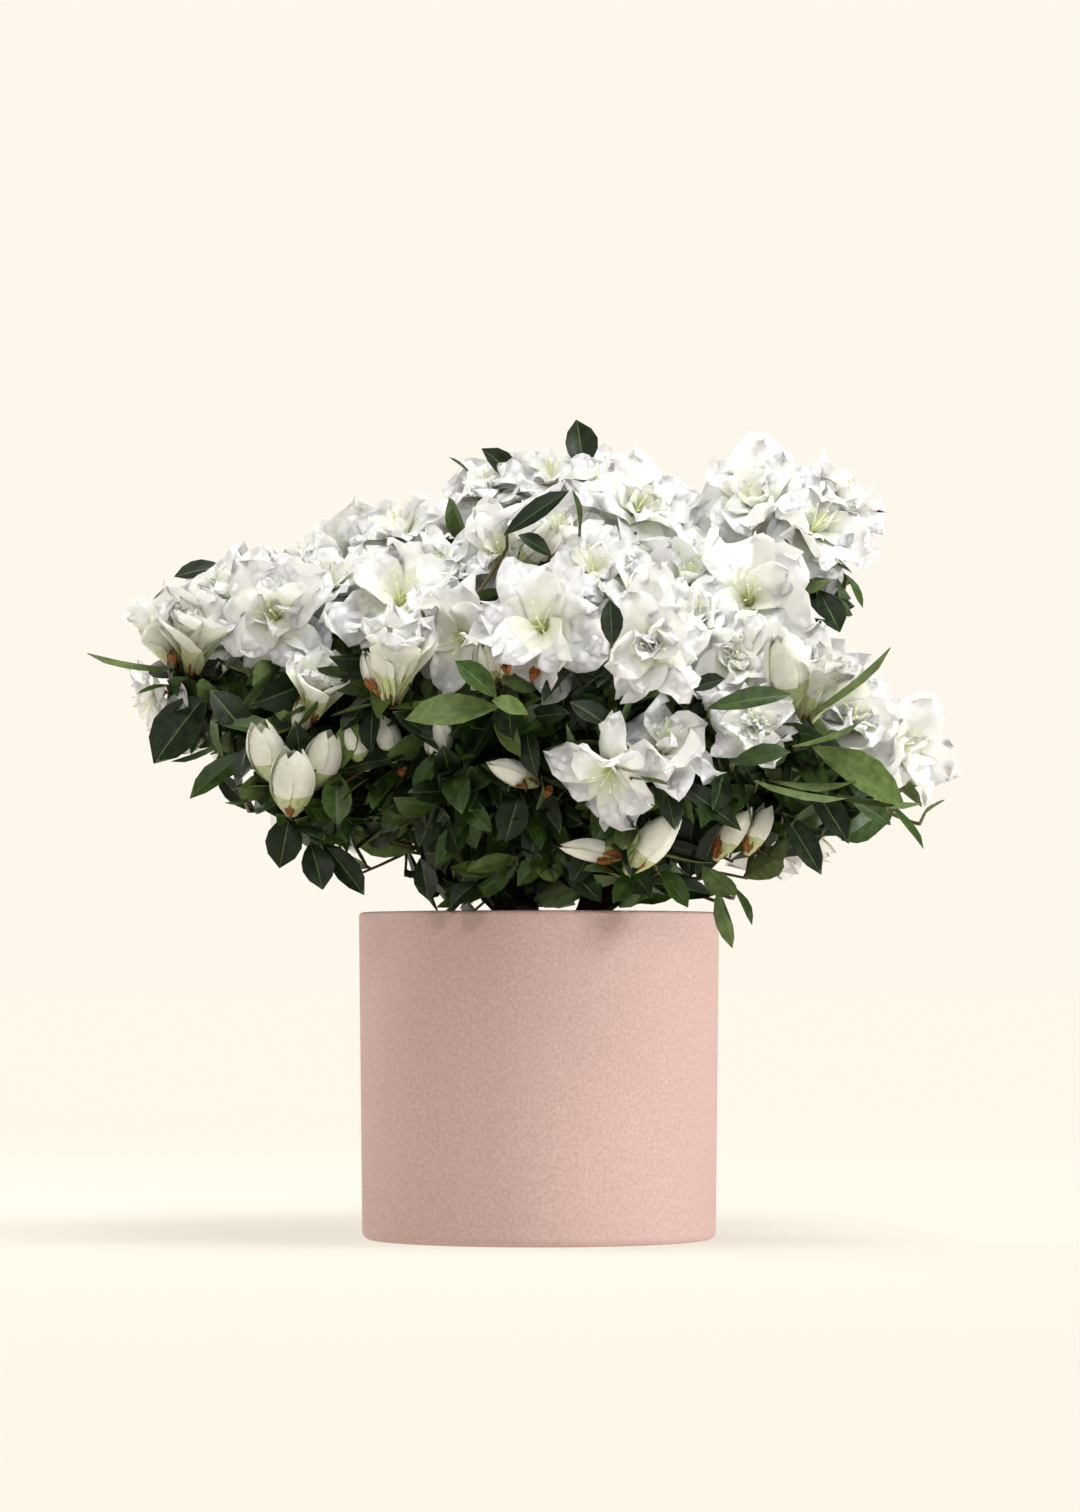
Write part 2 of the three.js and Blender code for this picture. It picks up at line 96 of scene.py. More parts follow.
def placed(pixelX, pixelY, depth):  # a pixel, and how far behind the pot's axis, to a place in mm
    mmPerPixel = (shot["distance"] + depth) / shot["distance"] / shot["pixelsPerMm"]
    x = (pixelX - shot["axisPixel"]) * mmPerPixel
    z = shot["height"] + (shot["horizonPixel"] - pixelY) * mmPerPixel
    return np.array([x, depth, z], float)


def makeCamera():
    data = bpy.data.cameras.new("camera")
    longSide = max(shot["imageWidth"], shot["imageHeight"])
    data.sensor_fit = "AUTO"
    data.sensor_width = shot["sensor"]
    data.lens = shot["distance"] * shot["pixelsPerMm"] / longSide * shot["sensor"]
    data.shift_x = (shot["imageWidth"] / 2 - shot["axisPixel"]) / longSide
    data.shift_y = (shot["horizonPixel"] - shot["imageHeight"] / 2) / longSide
    data.clip_start, data.clip_end = 0.05, 50
    camera = bpy.data.objects.new("camera", data)
    camera.location = (0, -shot["distance"] * mm, shot["height"] * mm)
    camera.rotation_euler = (math.pi / 2, 0, 0)
    bpy.context.scene.collection.objects.link(camera)
    bpy.context.scene.camera = camera


makeCamera()
print("camera set")


def addNode(tree, kind, inputs, **settings):
    node = tree.nodes.new(kind)
    for key, value in settings.items():
        setattr(node, key, value)
    for key, value in inputs.items():
        if isinstance(value, bpy.types.NodeSocket):
            tree.links.new(value, node.inputs[key])
        else:
            node.inputs[key].default_value = value
    return node


grainSpread = (0.35, 0.65)  # the part of the noise over which one colour runs to the other
petalDepth = (0.004, 0.004, 0.003)  # how far red, green and blue light travel in a petal, in m


def makeFinish(name, look):
    # grain and relief are pattern sizes in mm; colours run from the dark to the light one across the grain
    material = bpy.data.materials.new(name)
    material.use_nodes = True
    tree = material.node_tree
    surface = tree.nodes["Principled BSDF"]
    place = addNode(tree, "ShaderNodeTexCoord", {}).outputs["Object"]
    if "stretch" in look:
        place = addNode(tree, "ShaderNodeMapping", {"Vector": place, "Scale": look["stretch"]}).outputs["Vector"]
    grainLook = {"Vector": place, "Scale": 1000 / look["grain"], "Detail": look.get("detail", 3.0), "Roughness": 0.6}
    grain = addNode(tree, "ShaderNodeTexNoise", grainLook).outputs["Fac"]
    ramp = addNode(tree, "ShaderNodeValToRGB", {"Fac": grain})
    for stop, position, colour in zip(ramp.color_ramp.elements, grainSpread, (look["dark"], look["light"])):
        stop.position = position
        stop.color = linear(colour)
    tree.links.new(ramp.outputs["Color"], surface.inputs["Base Color"])
    low, high = look["roughness"]
    roughLook = {"Value": grain, "From Min": 0.3, "From Max": 0.7, "To Min": low, "To Max": high}
    rough = addNode(tree, "ShaderNodeMapRange", roughLook)
    tree.links.new(rough.outputs["Result"], surface.inputs["Roughness"])
    relief = addNode(tree, "ShaderNodeTexNoise", {"Vector": place, "Scale": 1000 / look["relief"], "Detail": 4.0})
    bumpLook = {"Height": relief.outputs["Fac"], "Strength": look["bump"], "Distance": look["relief"] * mm * 0.3}
    bump = addNode(tree, "ShaderNodeBump", bumpLook)
    tree.links.new(bump.outputs["Normal"], surface.inputs["Normal"])
    surface.inputs["IOR"].default_value = look.get("ior", 1.45)
    surface.inputs["Subsurface Weight"].default_value = look.get("glow", 0.0)
    surface.inputs["Subsurface Radius"].default_value = petalDepth
    surface.inputs["Subsurface Scale"].default_value = 1.0
    return material


petalSkin = {"grain": 3, "relief": 2.8, "bump": 0.28, "roughness": (0.5, 0.65)}
throatSkin = {"grain": 2, "relief": 1.2, "bump": 0.1, "roughness": (0.45, 0.6)}
budSkin = {"bump": 0.1, "roughness": (0.4, 0.55)}
leafSkin = {"grain": 4, "relief": 1.2, "bump": 0.3, "ior": 1.36}
twigSkin = {"grain": 3, "relief": 1.0}
finishes = {
    # azalea petal: thin, matt and slightly see-through, so it stays white in its own shade
    "petalWhite": {**petalSkin, "dark": "#F4F5F3", "light": "#FCFCFB", "glow": 0.65},
    "petalPale": {**petalSkin, "dark": "#EBEEDD", "light": "#F5F6E9", "glow": 0.35},
    "petalThroat": {**throatSkin, "dark": "#C4CE8C", "light": "#DDE2B4", "glow": 0.3},
    # furled petal: waxy and cream-green towards its foot
    "budCream": {**budSkin, "dark": "#E6E8D4", "light": "#F3F3E6", "grain": 3, "relief": 2, "glow": 0.3},
    "budGreen": {**budSkin, "dark": "#A3B072", "light": "#C3CC98", "grain": 2, "relief": 1.5, "glow": 0.2},
    # bud scale: dry, papery, rust brown
    "budScale": {
        "dark": "#5C3510", "light": "#985C24", "grain": 1.2, "relief": 0.8, "bump": 0.4, "roughness": (0.5, 0.7),
    },
    # azalea leaf: leathery, deep green, a soft gloss above and a duller paler back
    "leafDeep": {**leafSkin, "dark": "#0E190A", "light": "#1B2B12", "roughness": (0.3, 0.48)},
    "leafGreen": {**leafSkin, "dark": "#23380F", "light": "#38521C", "roughness": (0.32, 0.48)},
    "leafFresh": {**leafSkin, "dark": "#435624", "light": "#5B7034", "roughness": (0.36, 0.52)},
    "leafBack": {
        "dark": "#485A30", "light": "#637544", "grain": 4, "relief": 1.0, "bump": 0.35, "roughness": (0.55, 0.7),
        "ior": 1.3,
    },
    # the leaf's midrib: a pale green thread
    "leafRib": {**twigSkin, "dark": "#3A4E24", "light": "#516536", "bump": 0.2, "roughness": (0.45, 0.6)},
    # young shoot: smooth reddish green, turning woody
    "shoot": {**twigSkin, "dark": "#4A4A22", "light": "#6E5A34", "bump": 0.4, "roughness": (0.55, 0.75)},
    # azalea bark: dull brown, in fine long flakes
    "bark": {
        "dark": "#17110C", "light": "#45352A", "grain": 2.2, "relief": 1.4, "bump": 0.9, "roughness": (0.75, 0.95),
        "detail": 6.0, "stretch": (1.0, 1.0, 0.35),
    },
    # matt stoneware: dusty pink, with a sandy grain that shows as fine speckle
    "stoneware": {
        "dark": "#C4A39F", "light": "#D6B8B3", "grain": 1.3, "relief": 0.7, "bump": 0.35, "roughness": (0.72, 0.85),
        "detail": 6.0,
    },
    # damp peat: near black brown crumbs
    "peat": {
        "dark": "#17100B", "light": "#3E2C20", "grain": 2.5, "relief": 1.5, "bump": 1.0, "roughness": (0.85, 1.0),
        "detail": 6.0,
    },
}
materials = {name: makeFinish(name, look) for name, look in finishes.items()}
print("materials made:", len(materials))


def newHeap():
    return {"points": [], "corners": [], "sizes": [], "slots": [], "count": 0}


def addPoints(heap, points):
    base = heap["count"]
    heap["points"].append(points.reshape(-1, 3))
    heap["count"] += points.size // 3
    return base


def addFaces(heap, faces, slots):
    heap["corners"].append(faces.reshape(-1))
    heap["sizes"].append(np.full(len(faces), faces.shape[1]))
    heap["slots"].append(np.broadcast_to(slots, len(faces)))


def shellFaces(rows, columns):
    # two sheets that share their edge: the upper one, and a lower one of the inner points
    upper = np.arange(rows * columns).reshape(rows, columns)
    lower = upper.copy()
    lower[1:-1, 1:-1] = rows * columns + np.arange((rows - 2) * (columns - 2)).reshape(rows - 2, columns - 2)

    def quads(grid):
        return np.stack([grid[:-1, :-1], grid[:-1, 1:], grid[1:, 1:], grid[1:, :-1]], axis=-1).reshape(-1, 4)

    return quads(upper), quads(lower)[:, ::-1]


def addShells(heap, sheets, thickness, upperSlots, lowerSlots):
    # sheets: count x rows x columns x 3. A slot array has one row per sheet and one column per face
    count, rows, columns, _ = sheets.shape
    along = np.gradient(sheets, axis=1)
    across = np.gradient(sheets, axis=2)
    normal = np.cross(across, along)
    normal /= np.maximum(np.linalg.norm(normal, axis=-1, keepdims=True), 1e-9)
    inner = (sheets - normal * thickness)[:, 1:-1, 1:-1]
    points = np.concatenate([sheets.reshape(count, -1, 3), inner.reshape(count, -1, 3)], axis=1)
    base = addPoints(heap, points)
    each = points.shape[1]
    starts = base + np.arange(count)[:, None, None] * each
    for faces, slots in zip(shellFaces(rows, columns), (upperSlots, lowerSlots)):
        addFaces(heap, (faces[None] + starts).reshape(-1, 4), np.broadcast_to(slots, (count, len(faces))).reshape(-1))


def addTube(heap, path, radii, sides, slot, relief=None):
    # a closed tube along the path, its ends capped; relief scales each point's radius
    path = np.asarray(path, float)
    count = len(path)
    tangents = np.gradient(path, axis=0)
    first, _, _ = frameAlong(tangents[0])
    rings = []
    for i in range(count):
        tangent = unit(tangents[i])
        first = unit(first - tangent * np.dot(first, tangent))
        second = np.cross(tangent, first)
        angles = np.arange(sides) / sides * 2 * math.pi
        reach = np.full(sides, radii[i], float)
        if relief is not None:
            reach = reach * relief(i / (count - 1), angles)
        turned = np.cos(angles)[:, None] * reach[:, None] * first + np.sin(angles)[:, None] * reach[:, None] * second
        rings.append(path[i] + turned)
    base = addPoints(heap, np.array(rings))
    grid = base + np.arange(count * sides).reshape(count, sides)
    nextGrid = np.roll(grid, -1, axis=1)
    quads = np.stack([grid[:-1], nextGrid[:-1], nextGrid[1:], grid[1:]], axis=-1).reshape(-1, 4)
    addFaces(heap, quads, slot)
    addFaces(heap, np.array([grid[0][::-1], grid[-1]]), slot)


sharpEdge = math.radians(80)


def buildPiece(name, heap, materialNames, nodes=()):
    mesh = bpy.data.meshes.new(name)
    points = np.concatenate(heap["points"]) * mm
    corners = np.concatenate(heap["corners"]).astype(np.int32)
    sizes = np.concatenate(heap["sizes"])
    starts = np.concatenate([[0], np.cumsum(sizes)[:-1]]).astype(np.int32)
    mesh.vertices.add(len(points))
    mesh.vertices.foreach_set("co", points.astype(np.float32).ravel())
    mesh.loops.add(len(corners))
    mesh.loops.foreach_set("vertex_index", corners)
    mesh.polygons.add(len(sizes))
    mesh.polygons.foreach_set("loop_start", starts)
    mesh.polygons.foreach_set("material_index", np.concatenate(heap["slots"]).astype(np.int32))
    mesh.update(calc_edges=True)
    mesh.validate()
    mesh.shade_smooth()
    mesh.set_sharp_from_angle(angle=sharpEdge)
    for materialName in materialNames:
        mesh.materials.append(materials[materialName])
    piece = bpy.data.objects.new(name, mesh)
    bpy.context.scene.collection.objects.link(piece)
    keepPiece(piece, nodes)


def keepPiece(piece, nodes=()):
    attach(piece, "root")
    if nodes:
        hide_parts(*nodes)


heart = np.array([0.0, 0.0, 175.0])  # the sprays face away from here
gap = 0.3  # between one limb and the next, in mm
soil = {"crownHeight": 127, "edgeHeight": 123, "flatRadius": 36}

stems = {
    "trunk": {"foot": (-7, 2), "top": (-9, 0, 150), "footRadius": 14, "topRadius": 8.5, "flare": 0.22},
    "side_stem": {"foot": (17, -2), "top": (27, -5, 163), "footRadius": 8, "topRadius": 5, "flare": 0.16},
}
boughs = {  # the stem, the height at which it leaves it, its tip, and how soon it rises
    "bough_left": ("trunk", 139, (-98, -36, 226), 0.52),
    "bough_back_left": ("trunk", 143, (-82, 46, 222), 0.58),
    "bough_front_left": ("trunk", 136, (-42, -66, 224), 0.62),
    "bough_top_left": ("trunk", 148, (-36, 2, 272), 0.55),
    "bough_top_back": ("trunk", 146, (0, 42, 272), 0.58),
    "bough_back": ("trunk", 137, (2, 84, 212), 0.6),
    "bough_front": ("side_stem", 146, (24, -76, 216), 0.6),
    "bough_top_right": ("side_stem", 161, (42, -18, 266), 0.55),
    "bough_upper_right": ("side_stem", 156, (84, 6, 256), 0.5),
    "bough_right": ("side_stem", 143, (92, -48, 194), 0.5),
    "bough_back_right": ("side_stem", 150, (86, 52, 214), 0.56),
}
boughRadii = (4.6, 2.6)  # at the foot and the tip
sprays = [  # name, limb, centre, reach, blooms, buds, leafy tips, turn of the whorl
    ("left_outer", "bough_left", (-134, -22, 254), 42, 3, 2, 2, 20),
    ("left_front", "bough_left", (-104, -62, 262), 44, 3, 1, 2, 80),
    ("left_low", "bough_left", (-100, -66, 194), 44, 0, 3, 3, 0),
    ("centre_left", "bough_front_left", (-54, -92, 264), 44, 3, 1, 1, 10),
    ("front_under", "bough_front_left", (-38, -84, 206), 42, 0, 3, 4, 40),
    ("top_left", "bough_top_left", (-66, 0, 292), 40, 3, 0, 1, 60),
    ("top_centre", "bough_top_left", (-16, -22, 308), 40, 3, 1, 1, 0),
    ("top_front", "bough_top_right", (34, -42, 306), 42, 3, 0, 1, 30),
    ("front", "bough_front", (18, -104, 258), 44, 3, 0, 2, 50),
    ("front_low", "bough_front", (40, -108, 204), 42, 2, 1, 3, 0),
    ("right_centre", "bough_top_right", (80, -70, 280), 40, 2, 0, 1, 0),
    ("right_top", "bough_upper_right", (106, -14, 304), 44, 4, 0, 2, 45),
    ("right_front", "bough_right", (98, -96, 236), 42, 3, 2, 2, 90),
    ("right_outer", "bough_right", (138, -44, 206), 44, 3, 0, 3, 0),
    ("right_low", "bough_right", (108, -58, 190), 37, 0, 2, 4, 0),
    ("back_left", "bough_back_left", (-124, 62, 246), 44, 3, 1, 2, 30),
    ("back_left_top", "bough_back_left", (-70, 74, 286), 42, 3, 0, 1, 0),
    ("back_left_low", "bough_back_left", (-88, 108, 216), 44, 2, 2, 3, 70),
    ("back_top", "bough_top_back", (2, 50, 306), 42, 3, 0, 1, 15),
    ("back", "bough_back", (-24, 126, 258), 46, 3, 1, 2, 0),
    ("back_right_mid", "bough_back", (50, 124, 244), 46, 3, 0, 2, 40),
    ("back_low", "bough_back", (0, 108, 190), 42, 0, 3, 3, 0),
    ("back_right_top", "bough_upper_right", (70, 66, 280), 42, 3, 0, 1, 0),
    ("back_right", "bough_back_right", (112, 60, 236), 44, 3, 0, 2, 20),
    ("back_right_low", "bough_back_right", (94, 100, 192), 42, 1, 2, 3, 0),
    ("rim_left", "trunk", (-52, -42, 172), 36, 0, 0, 4, 0),
    ("rim_right", "side_stem", (66, -40, 160), 36, 0, 0, 4, 0),
]
centres = np.array([row[2] for row in sprays], float)
reaches = np.array([row[3] for row in sprays], float)
firstSeed = 7919


def stemPoint(name, share):
    row = stems[name]
    foot = np.array([*row["foot"], soil["crownHeight"] + gap], float)
    return foot + (np.array(row["top"], float) - foot) * share


def boughCurve(name):
    stemName, leaves, tip, rise = boughs[name]
    low = soil["crownHeight"] + gap
    start = stemPoint(stemName, (leaves - low) / (stems[stemName]["top"][2] - low))
    return archedCurve(start, np.array(tip, float), rise)


boughCurves = {name: boughCurve(name) for name in boughs}


def sprayStem(index):
    limb = sprays[index][1]
    hub = centres[index] - unit(centres[index] - heart) * 0.3 * reaches[index]
    start = boughCurves[limb](0.97) if limb in boughCurves else stemPoint(limb, 0.8)
    return archedCurve(start, hub, 0.55)


def nearestSpray(point):
    power = ((centres - point) ** 2).sum(axis=1) - reaches**2
    return int(np.argmin(power))


# The blooms of the best side: pixel x and y, radius in pixels, depth in mm, facing (right, front, up), whorls of petals
frontBlooms = [
    (272, 612, 58, -72, (-0.15, 0.95, 0.15), 3), (222, 582, 52, -36, (-0.45, 0.6, 0.65), 3),
    (142, 702, 36, 0, (-0.8, 0.3, -0.4), 2), (330, 570, 52, -44, (0.1, 0.6, 0.8), 3),
    (398, 588, 62, -90, (-0.05, 0.9, 0.4), 2), (455, 640, 56, -106, (-0.35, 0.85, -0.2), 2),
    (395, 518, 52, -16, (-0.3, 0.4, 0.85), 3), (487, 478, 48, -15, (-0.3, 0.45, 0.8), 3),
    (498, 545, 50, -58, (-0.1, 0.9, 0.3), 3), (548, 466, 48, -20, (0.0, 0.5, 0.9), 3),
    (606, 472, 50, -18, (0.2, 0.5, 0.8), 2), (643, 500, 60, -44, (0.3, 0.85, 0.4), 3),
    (592, 560, 50, -84, (-0.1, 0.8, 0.6), 3), (538, 620, 66, -128, (-0.15, 1.0, 0.2), 2),
    (652, 643, 56, -138, (0.1, 1.0, 0.05), 4), (603, 782, 54, -132, (-0.35, 0.7, -0.5), 2),
    (667, 736, 52, -124, (0.15, 0.65, 0.7), 3), (748, 588, 60, -94, (-0.1, 0.9, 0.35), 2),
    (690, 568, 52, -74, (0.05, 0.75, 0.65), 3), (752, 490, 62, -30, (-0.25, 0.75, 0.6), 3),
    (824, 516, 60, -30, (0.45, 0.7, 0.5), 3), (737, 655, 52, -106, (0.0, 0.9, 0.35), 4),
    (757, 722, 40, -118, (0.0, 1.0, 0.2), 4), (908, 744, 58, -44, (0.55, 0.75, 0.1), 3),
    (856, 712, 50, -56, (0.1, 0.85, 0.5), 3), (815, 668, 50, -60, (0.3, 0.85, 0.4), 3),
    (438, 560, 46, -56, (0.1, 0.8, 0.6), 3), (300, 552, 44, -20, (-0.2, 0.4, 0.9), 3),
    (182, 606, 40, -24, (-0.7, 0.4, 0.6), 2), (560, 520, 46, -50, (0.0, 0.7, 0.7), 3),
    (700, 610, 44, -96, (0.1, 0.85, 0.5), 3), (846, 486, 50, -8, (0.5, 0.3, 0.8), 3),
    (640, 590, 46, -98, (0.0, 0.8, 0.6), 3),
]
# Its buds: pixel x and y of the middle, length in pixels, depth, pointing (right, front, up), girth, and how far open,
# where anything over a quarter is a small flower
frontBuds = [
    (163, 634, 74, -44, (-0.35, 0.4, 0.85), 1.1, 0.26), (194, 630, 84, -52, (0.05, 0.4, 0.9), 1.0, 0.3),
    (318, 683, 66, -94, (0.15, 0.5, 0.8), 1.3, 0.34), (302, 716, 46, -84, (-0.1, 0.3, -0.9), 0.95, 0.0),
    (396, 656, 88, -116, (0.1, 0.4, 0.9), 1.15, 0.27), (372, 672, 44, -112, (-0.3, 0.3, 0.9), 0.9, 0.0),
    (266, 750, 60, -92, (-0.2, 0.35, 0.9), 1.25, 0.22), (292, 780, 66, -100, (0.05, 0.45, 0.9), 1.3, 0.24),
    (322, 758, 62, -92, (0.3, 0.35, 0.9), 1.25, 0.22), (356, 742, 58, -92, (-0.4, 0.3, 0.9), 0.95, 0.0),
    (388, 737, 48, -96, (-0.25, 0.4, 0.9), 1.05, 0.0), (438, 740, 40, -104, (0.0, 0.6, 0.7), 1.25, 0.0),
    (512, 773, 54, -112, (-0.85, 0.4, 0.35), 0.95, 0.0), (590, 850, 66, -106, (-0.95, 0.3, 0.15), 0.75, 0.0),
    (652, 842, 76, -110, (0.6, 0.3, 0.7), 0.95, 0.2), (732, 832, 62, -94, (0.5, 0.2, 0.8), 0.8, 0.1),
    (758, 828, 56, -90, (0.4, 0.1, 0.9), 0.85, 0.2), (786, 668, 72, -108, (-0.2, 0.5, 0.9), 1.25, 0.15),
    (822, 682, 80, -102, (0.35, 0.4, 0.85), 1.05, 0.26), (488, 660, 40, -118, (-0.2, 0.5, 0.8), 1.0, 0.1),
    (506, 664, 36, -118, (0.1, 0.5, 0.8), 1.0, 0.1), (540, 545, 58, -70, (0.5, 0.5, 0.6), 1.0, 0.2),
]
# Its clusters of brown scales: pixel x and y, length in pixels, depth, pointing
frontBracts = [
    (174, 664, 12, -56, (-0.2, 0.4, 0.9)), (371, 690, 13, -114, (-0.1, 0.4, 0.9)),
    (508, 674, 12, -130, (-0.2, 0.5, 0.8)), (532, 680, 12, -128, (0.3, 0.5, 0.8)),
    (290, 816, 13, -98, (0.0, 0.3, 0.9)), (402, 776, 9, -102, (0.0, 0.4, 0.8)),
    (526, 786, 11, -114, (-0.6, 0.5, 0.4)), (544, 797, 11, -112, (0.3, 0.5, 0.6)),
]
# Its leaves: pixel x and y of the foot and the tip, width in pixels, depth, and tone, from 0 for deep to 3 for a back
frontLeaves = [
    (207, 694, 150, 762, 50, -58, 0), (210, 690, 250, 735, 36, -70, 0), (172, 668, 84, 663, 11, -50, 3),
    (170, 685, 136, 690, 12, -54, 1), (250, 750, 186, 795, 26, -60, 1), (222, 742, 172, 768, 12, -52, 3),
    (224, 566, 173, 573, 22, -10, 0), (552, 556, 520, 532, 20, -86, 0), (475, 478, 451, 453, 12, -6, 1),
    (524, 486, 484, 445, 28, -10, 0), (504, 536, 567, 486, 22, -86, 0), (580, 530, 577, 487, 17, -88, 0),
    (584, 470, 578, 419, 34, -8, 0), (612, 646, 611, 599, 22, -150, 0), (499, 708, 403, 713, 38, -128, 2),
    (497, 698, 457, 658, 28, -130, 1), (528, 714, 493, 698, 22, -132, 2), (808, 714, 900, 656, 15, -112, 3),
    (792, 746, 867, 729, 15, -116, 3), (706, 709, 792, 688, 22, -132, 1), (730, 764, 790, 747, 24, -126, 1),
    (812, 746, 911, 800, 42, -108, 2), (754, 780, 846, 810, 10, -118, 3), (836, 794, 924, 814, 9, -104, 3),
    (806, 778, 853, 842, 30, -96, 0), (782, 812, 825, 873, 28, -100, 0), (886, 802, 929, 845, 14, -80, 1),
    (922, 816, 944, 796, 16, -60, 1), (850, 798, 893, 822, 22, -84, 1), (634, 812, 669, 788, 26, -118, 2),
    (628, 778, 670, 780, 13, -132, 2), (670, 778, 746, 826, 26, -120, 0), (718, 888, 729, 952, 9, -84, 3),
    (734, 886, 756, 923, 7, -82, 1), (702, 866, 736, 899, 28, -88, 3), (660, 868, 690, 906, 22, -90, 1),
    (640, 866, 612, 902, 20, -92, 1), (290, 814, 279, 868, 36, -86, 0), (310, 842, 324, 889, 32, -88, 0),
    (322, 842, 367, 893, 28, -84, 0), (248, 800, 224, 806, 10, -80, 3), (330, 800, 352, 852, 12, -76, 1),
    (818, 590, 842, 631, 30, -44, 0), (812, 588, 808, 622, 22, -40, 0), (767, 780, 857, 793, 9, -110, 3),
    (846, 574, 866, 606, 8, -40, 1), (560, 800, 498, 812, 34, -100, 0), (520, 792, 505, 842, 32, -104, 0),
    (470, 820, 436, 862, 26, -96, 1), (440, 800, 418, 846, 26, -90, 0), (450, 868, 494, 872, 22, -92, 2),
    (520, 858, 466, 868, 20, -94, 2), (560, 862, 604, 900, 30, -92, 0), (420, 858, 430, 900, 24, -86, 0),
    (545, 808, 528, 862, 28, -98, 0), (552, 850, 516, 884, 24, -92, 1), (498, 828, 544, 852, 24, -96, 0),
    (600, 838, 570, 884, 26, -94, 0), (528, 786, 562, 832, 26, -102, 0), (478, 880, 450, 904, 22, -88, 0),
    (620, 856, 654, 896, 24, -90, 0), (500, 740, 560, 700, 26, -118, 1), (570, 702, 608, 722, 26, -124, 0),
    (690, 690, 724, 676, 20, -128, 0),
]
whorlFigures = ("petals", "length", "width", "foot", "tip", "cup", "ruffle", "turn", "lift", "grid")
bloomShape = {
    # each whorl's petals, length and half-width as shares of the radius, lean in degrees at the foot and at the tip,
    # cup, ruffle, turn as a share of a petal, lift as a share of the radius, and points along and across
    "whorls": [
        (5, 1.26, 0.53, 16, 100, -0.05, 0.105, 0.0, 0.0, (8, 6)),
        (5, 1.12, 0.47, 13, 76, 0.05, 0.11, 0.5, 0.04, (8, 6)),
        (4, 0.8, 0.27, 8, 50, 0.25, 0.13, 0.2, 0.08, (7, 5)),
        (5, 0.56, 0.2, 4, 34, 0.4, 0.13, 0.6, 0.12, (7, 5)),
    ],
    "thickness": 0.22,
    "stamens": 4,
    "middle": 0.62,  # of the bloom above its foot, as a share of the radius
    "opening": 0.25,  # a bud further open than this is a small flower
    "openingSize": 0.72,
}


def alongWay(amounts, ways):
    return amounts[..., None] * ways


def petalSheets(origins, frames, sizes, opens, around, whorl, draw):
    # one petal for each of many blooms at once
    count = len(origins)
    rows, columns = whorl["grid"]
    share = (1 - (1 - np.linspace(0, 1, rows)) ** 1.35)[None, :]
    side = np.linspace(-1, 1, columns)[None, None, :]

    def spread(low, high, shape=(count, 1)):
        return draw.uniform(low, high, shape)

    length = sizes[:, None] * whorl["length"] * spread(0.88, 1.1)
    width = sizes[:, None] * whorl["width"] * spread(0.88, 1.14)
    foot = np.radians(whorl["foot"] + spread(-5, 5)) * opens[:, None] ** 0.5
    tip = np.radians(whorl["tip"] + spread(-20, 18)) * opens[:, None]
    lean = foot + (tip - foot) * share**0.8 * (1.6 - 0.6 * share)
    step = np.diff(share, axis=1, prepend=0.0)
    out = np.cumsum(np.sin(lean) * step, axis=1) * length
    rise = np.cumsum(np.cos(lean) * step, axis=1) * length + sizes[:, None] * whorl["lift"]
    blunt = spread(2.6, 6.0)
    outline = (0.2 + 0.8 * np.clip(share / 0.62, 0, 1) ** 0.9) * np.sqrt(np.maximum(1 - share**blunt, 0.0)) + 0.02
    half = width * outline
    radial = (frames[:, 0] * np.cos(around)[:, None] + frames[:, 1] * np.sin(around)[:, None])[:, None]
    sideways = (-frames[:, 0] * np.sin(around)[:, None] + frames[:, 1] * np.cos(around)[:, None])[:, None]
    axis = frames[:, 2][:, None]
    tangent = alongWay(np.sin(lean), radial) + alongWay(np.cos(lean), axis)
    facing = alongWay(-np.cos(lean), radial) + alongWay(np.sin(lean), axis)
    twist = spread(-0.7, 0.7) * share * 1.5
    acrossWay = alongWay(np.cos(twist), sideways) + alongWay(np.sin(twist), facing)
    facing = alongWay(-np.sin(twist), sideways) + alongWay(np.cos(twist), facing)
    swerve = spread(-0.12, 0.12) * share**2 * length
    spine = origins[:, None] + alongWay(out, radial) + alongWay(rise, axis) + alongWay(swerve, sideways)
    # where a petal stands up it curls round the bloom's axis, so that the whorl makes a funnel
    curl = (np.maximum(np.cos(lean), 0.04) / (np.maximum(out, 0) + 0.14 * sizes[:, None]))[..., None]
    angle = np.clip(half[..., None] * side * curl, -1.5, 1.5)
    lateral = np.sin(angle) / curl
    inward = (1 - np.cos(angle)) / curl
    phase = spread(0, 2 * math.pi, (count, 1, 1))
    other = spread(0, 2 * math.pi, (count, 1, 1))
    pace = spread(8.5, 13.0, (count, 1, 1))
    down = share[..., None]
    edge = np.abs(side) ** 1.5
    wave = np.sin(down * pace + side * 2.4 + phase) * edge + 0.7 * np.sin(side * 4.6 + down * 3 + other) * down
    crimp = 0.45 * np.sin(side * 8.0 + down * 12 + other + phase) * down**2
    cup = whorl["cup"] + spread(-0.28, 0.28, (count, 1, 1))
    height = (
        inward
        + cup * half[..., None] * side**2 * 1.2 * opens[:, None, None]
        + whorl["ruffle"] * (0.35 + 0.65 * opens[:, None, None]) * length[..., None] * (wave + crimp) * down**0.8
        - 0.03 * length[..., None] * (1 - np.abs(side)) ** 3
    )
    frill = 0.09 * np.sin(side * 6 + phase) * down**4 * length[..., None]
    curled = alongWay(lateral, acrossWay[:, :, None]) + alongWay(height, facing[:, :, None])
    return spine[:, :, None] + curled + alongWay(frill, tangent[:, :, None])


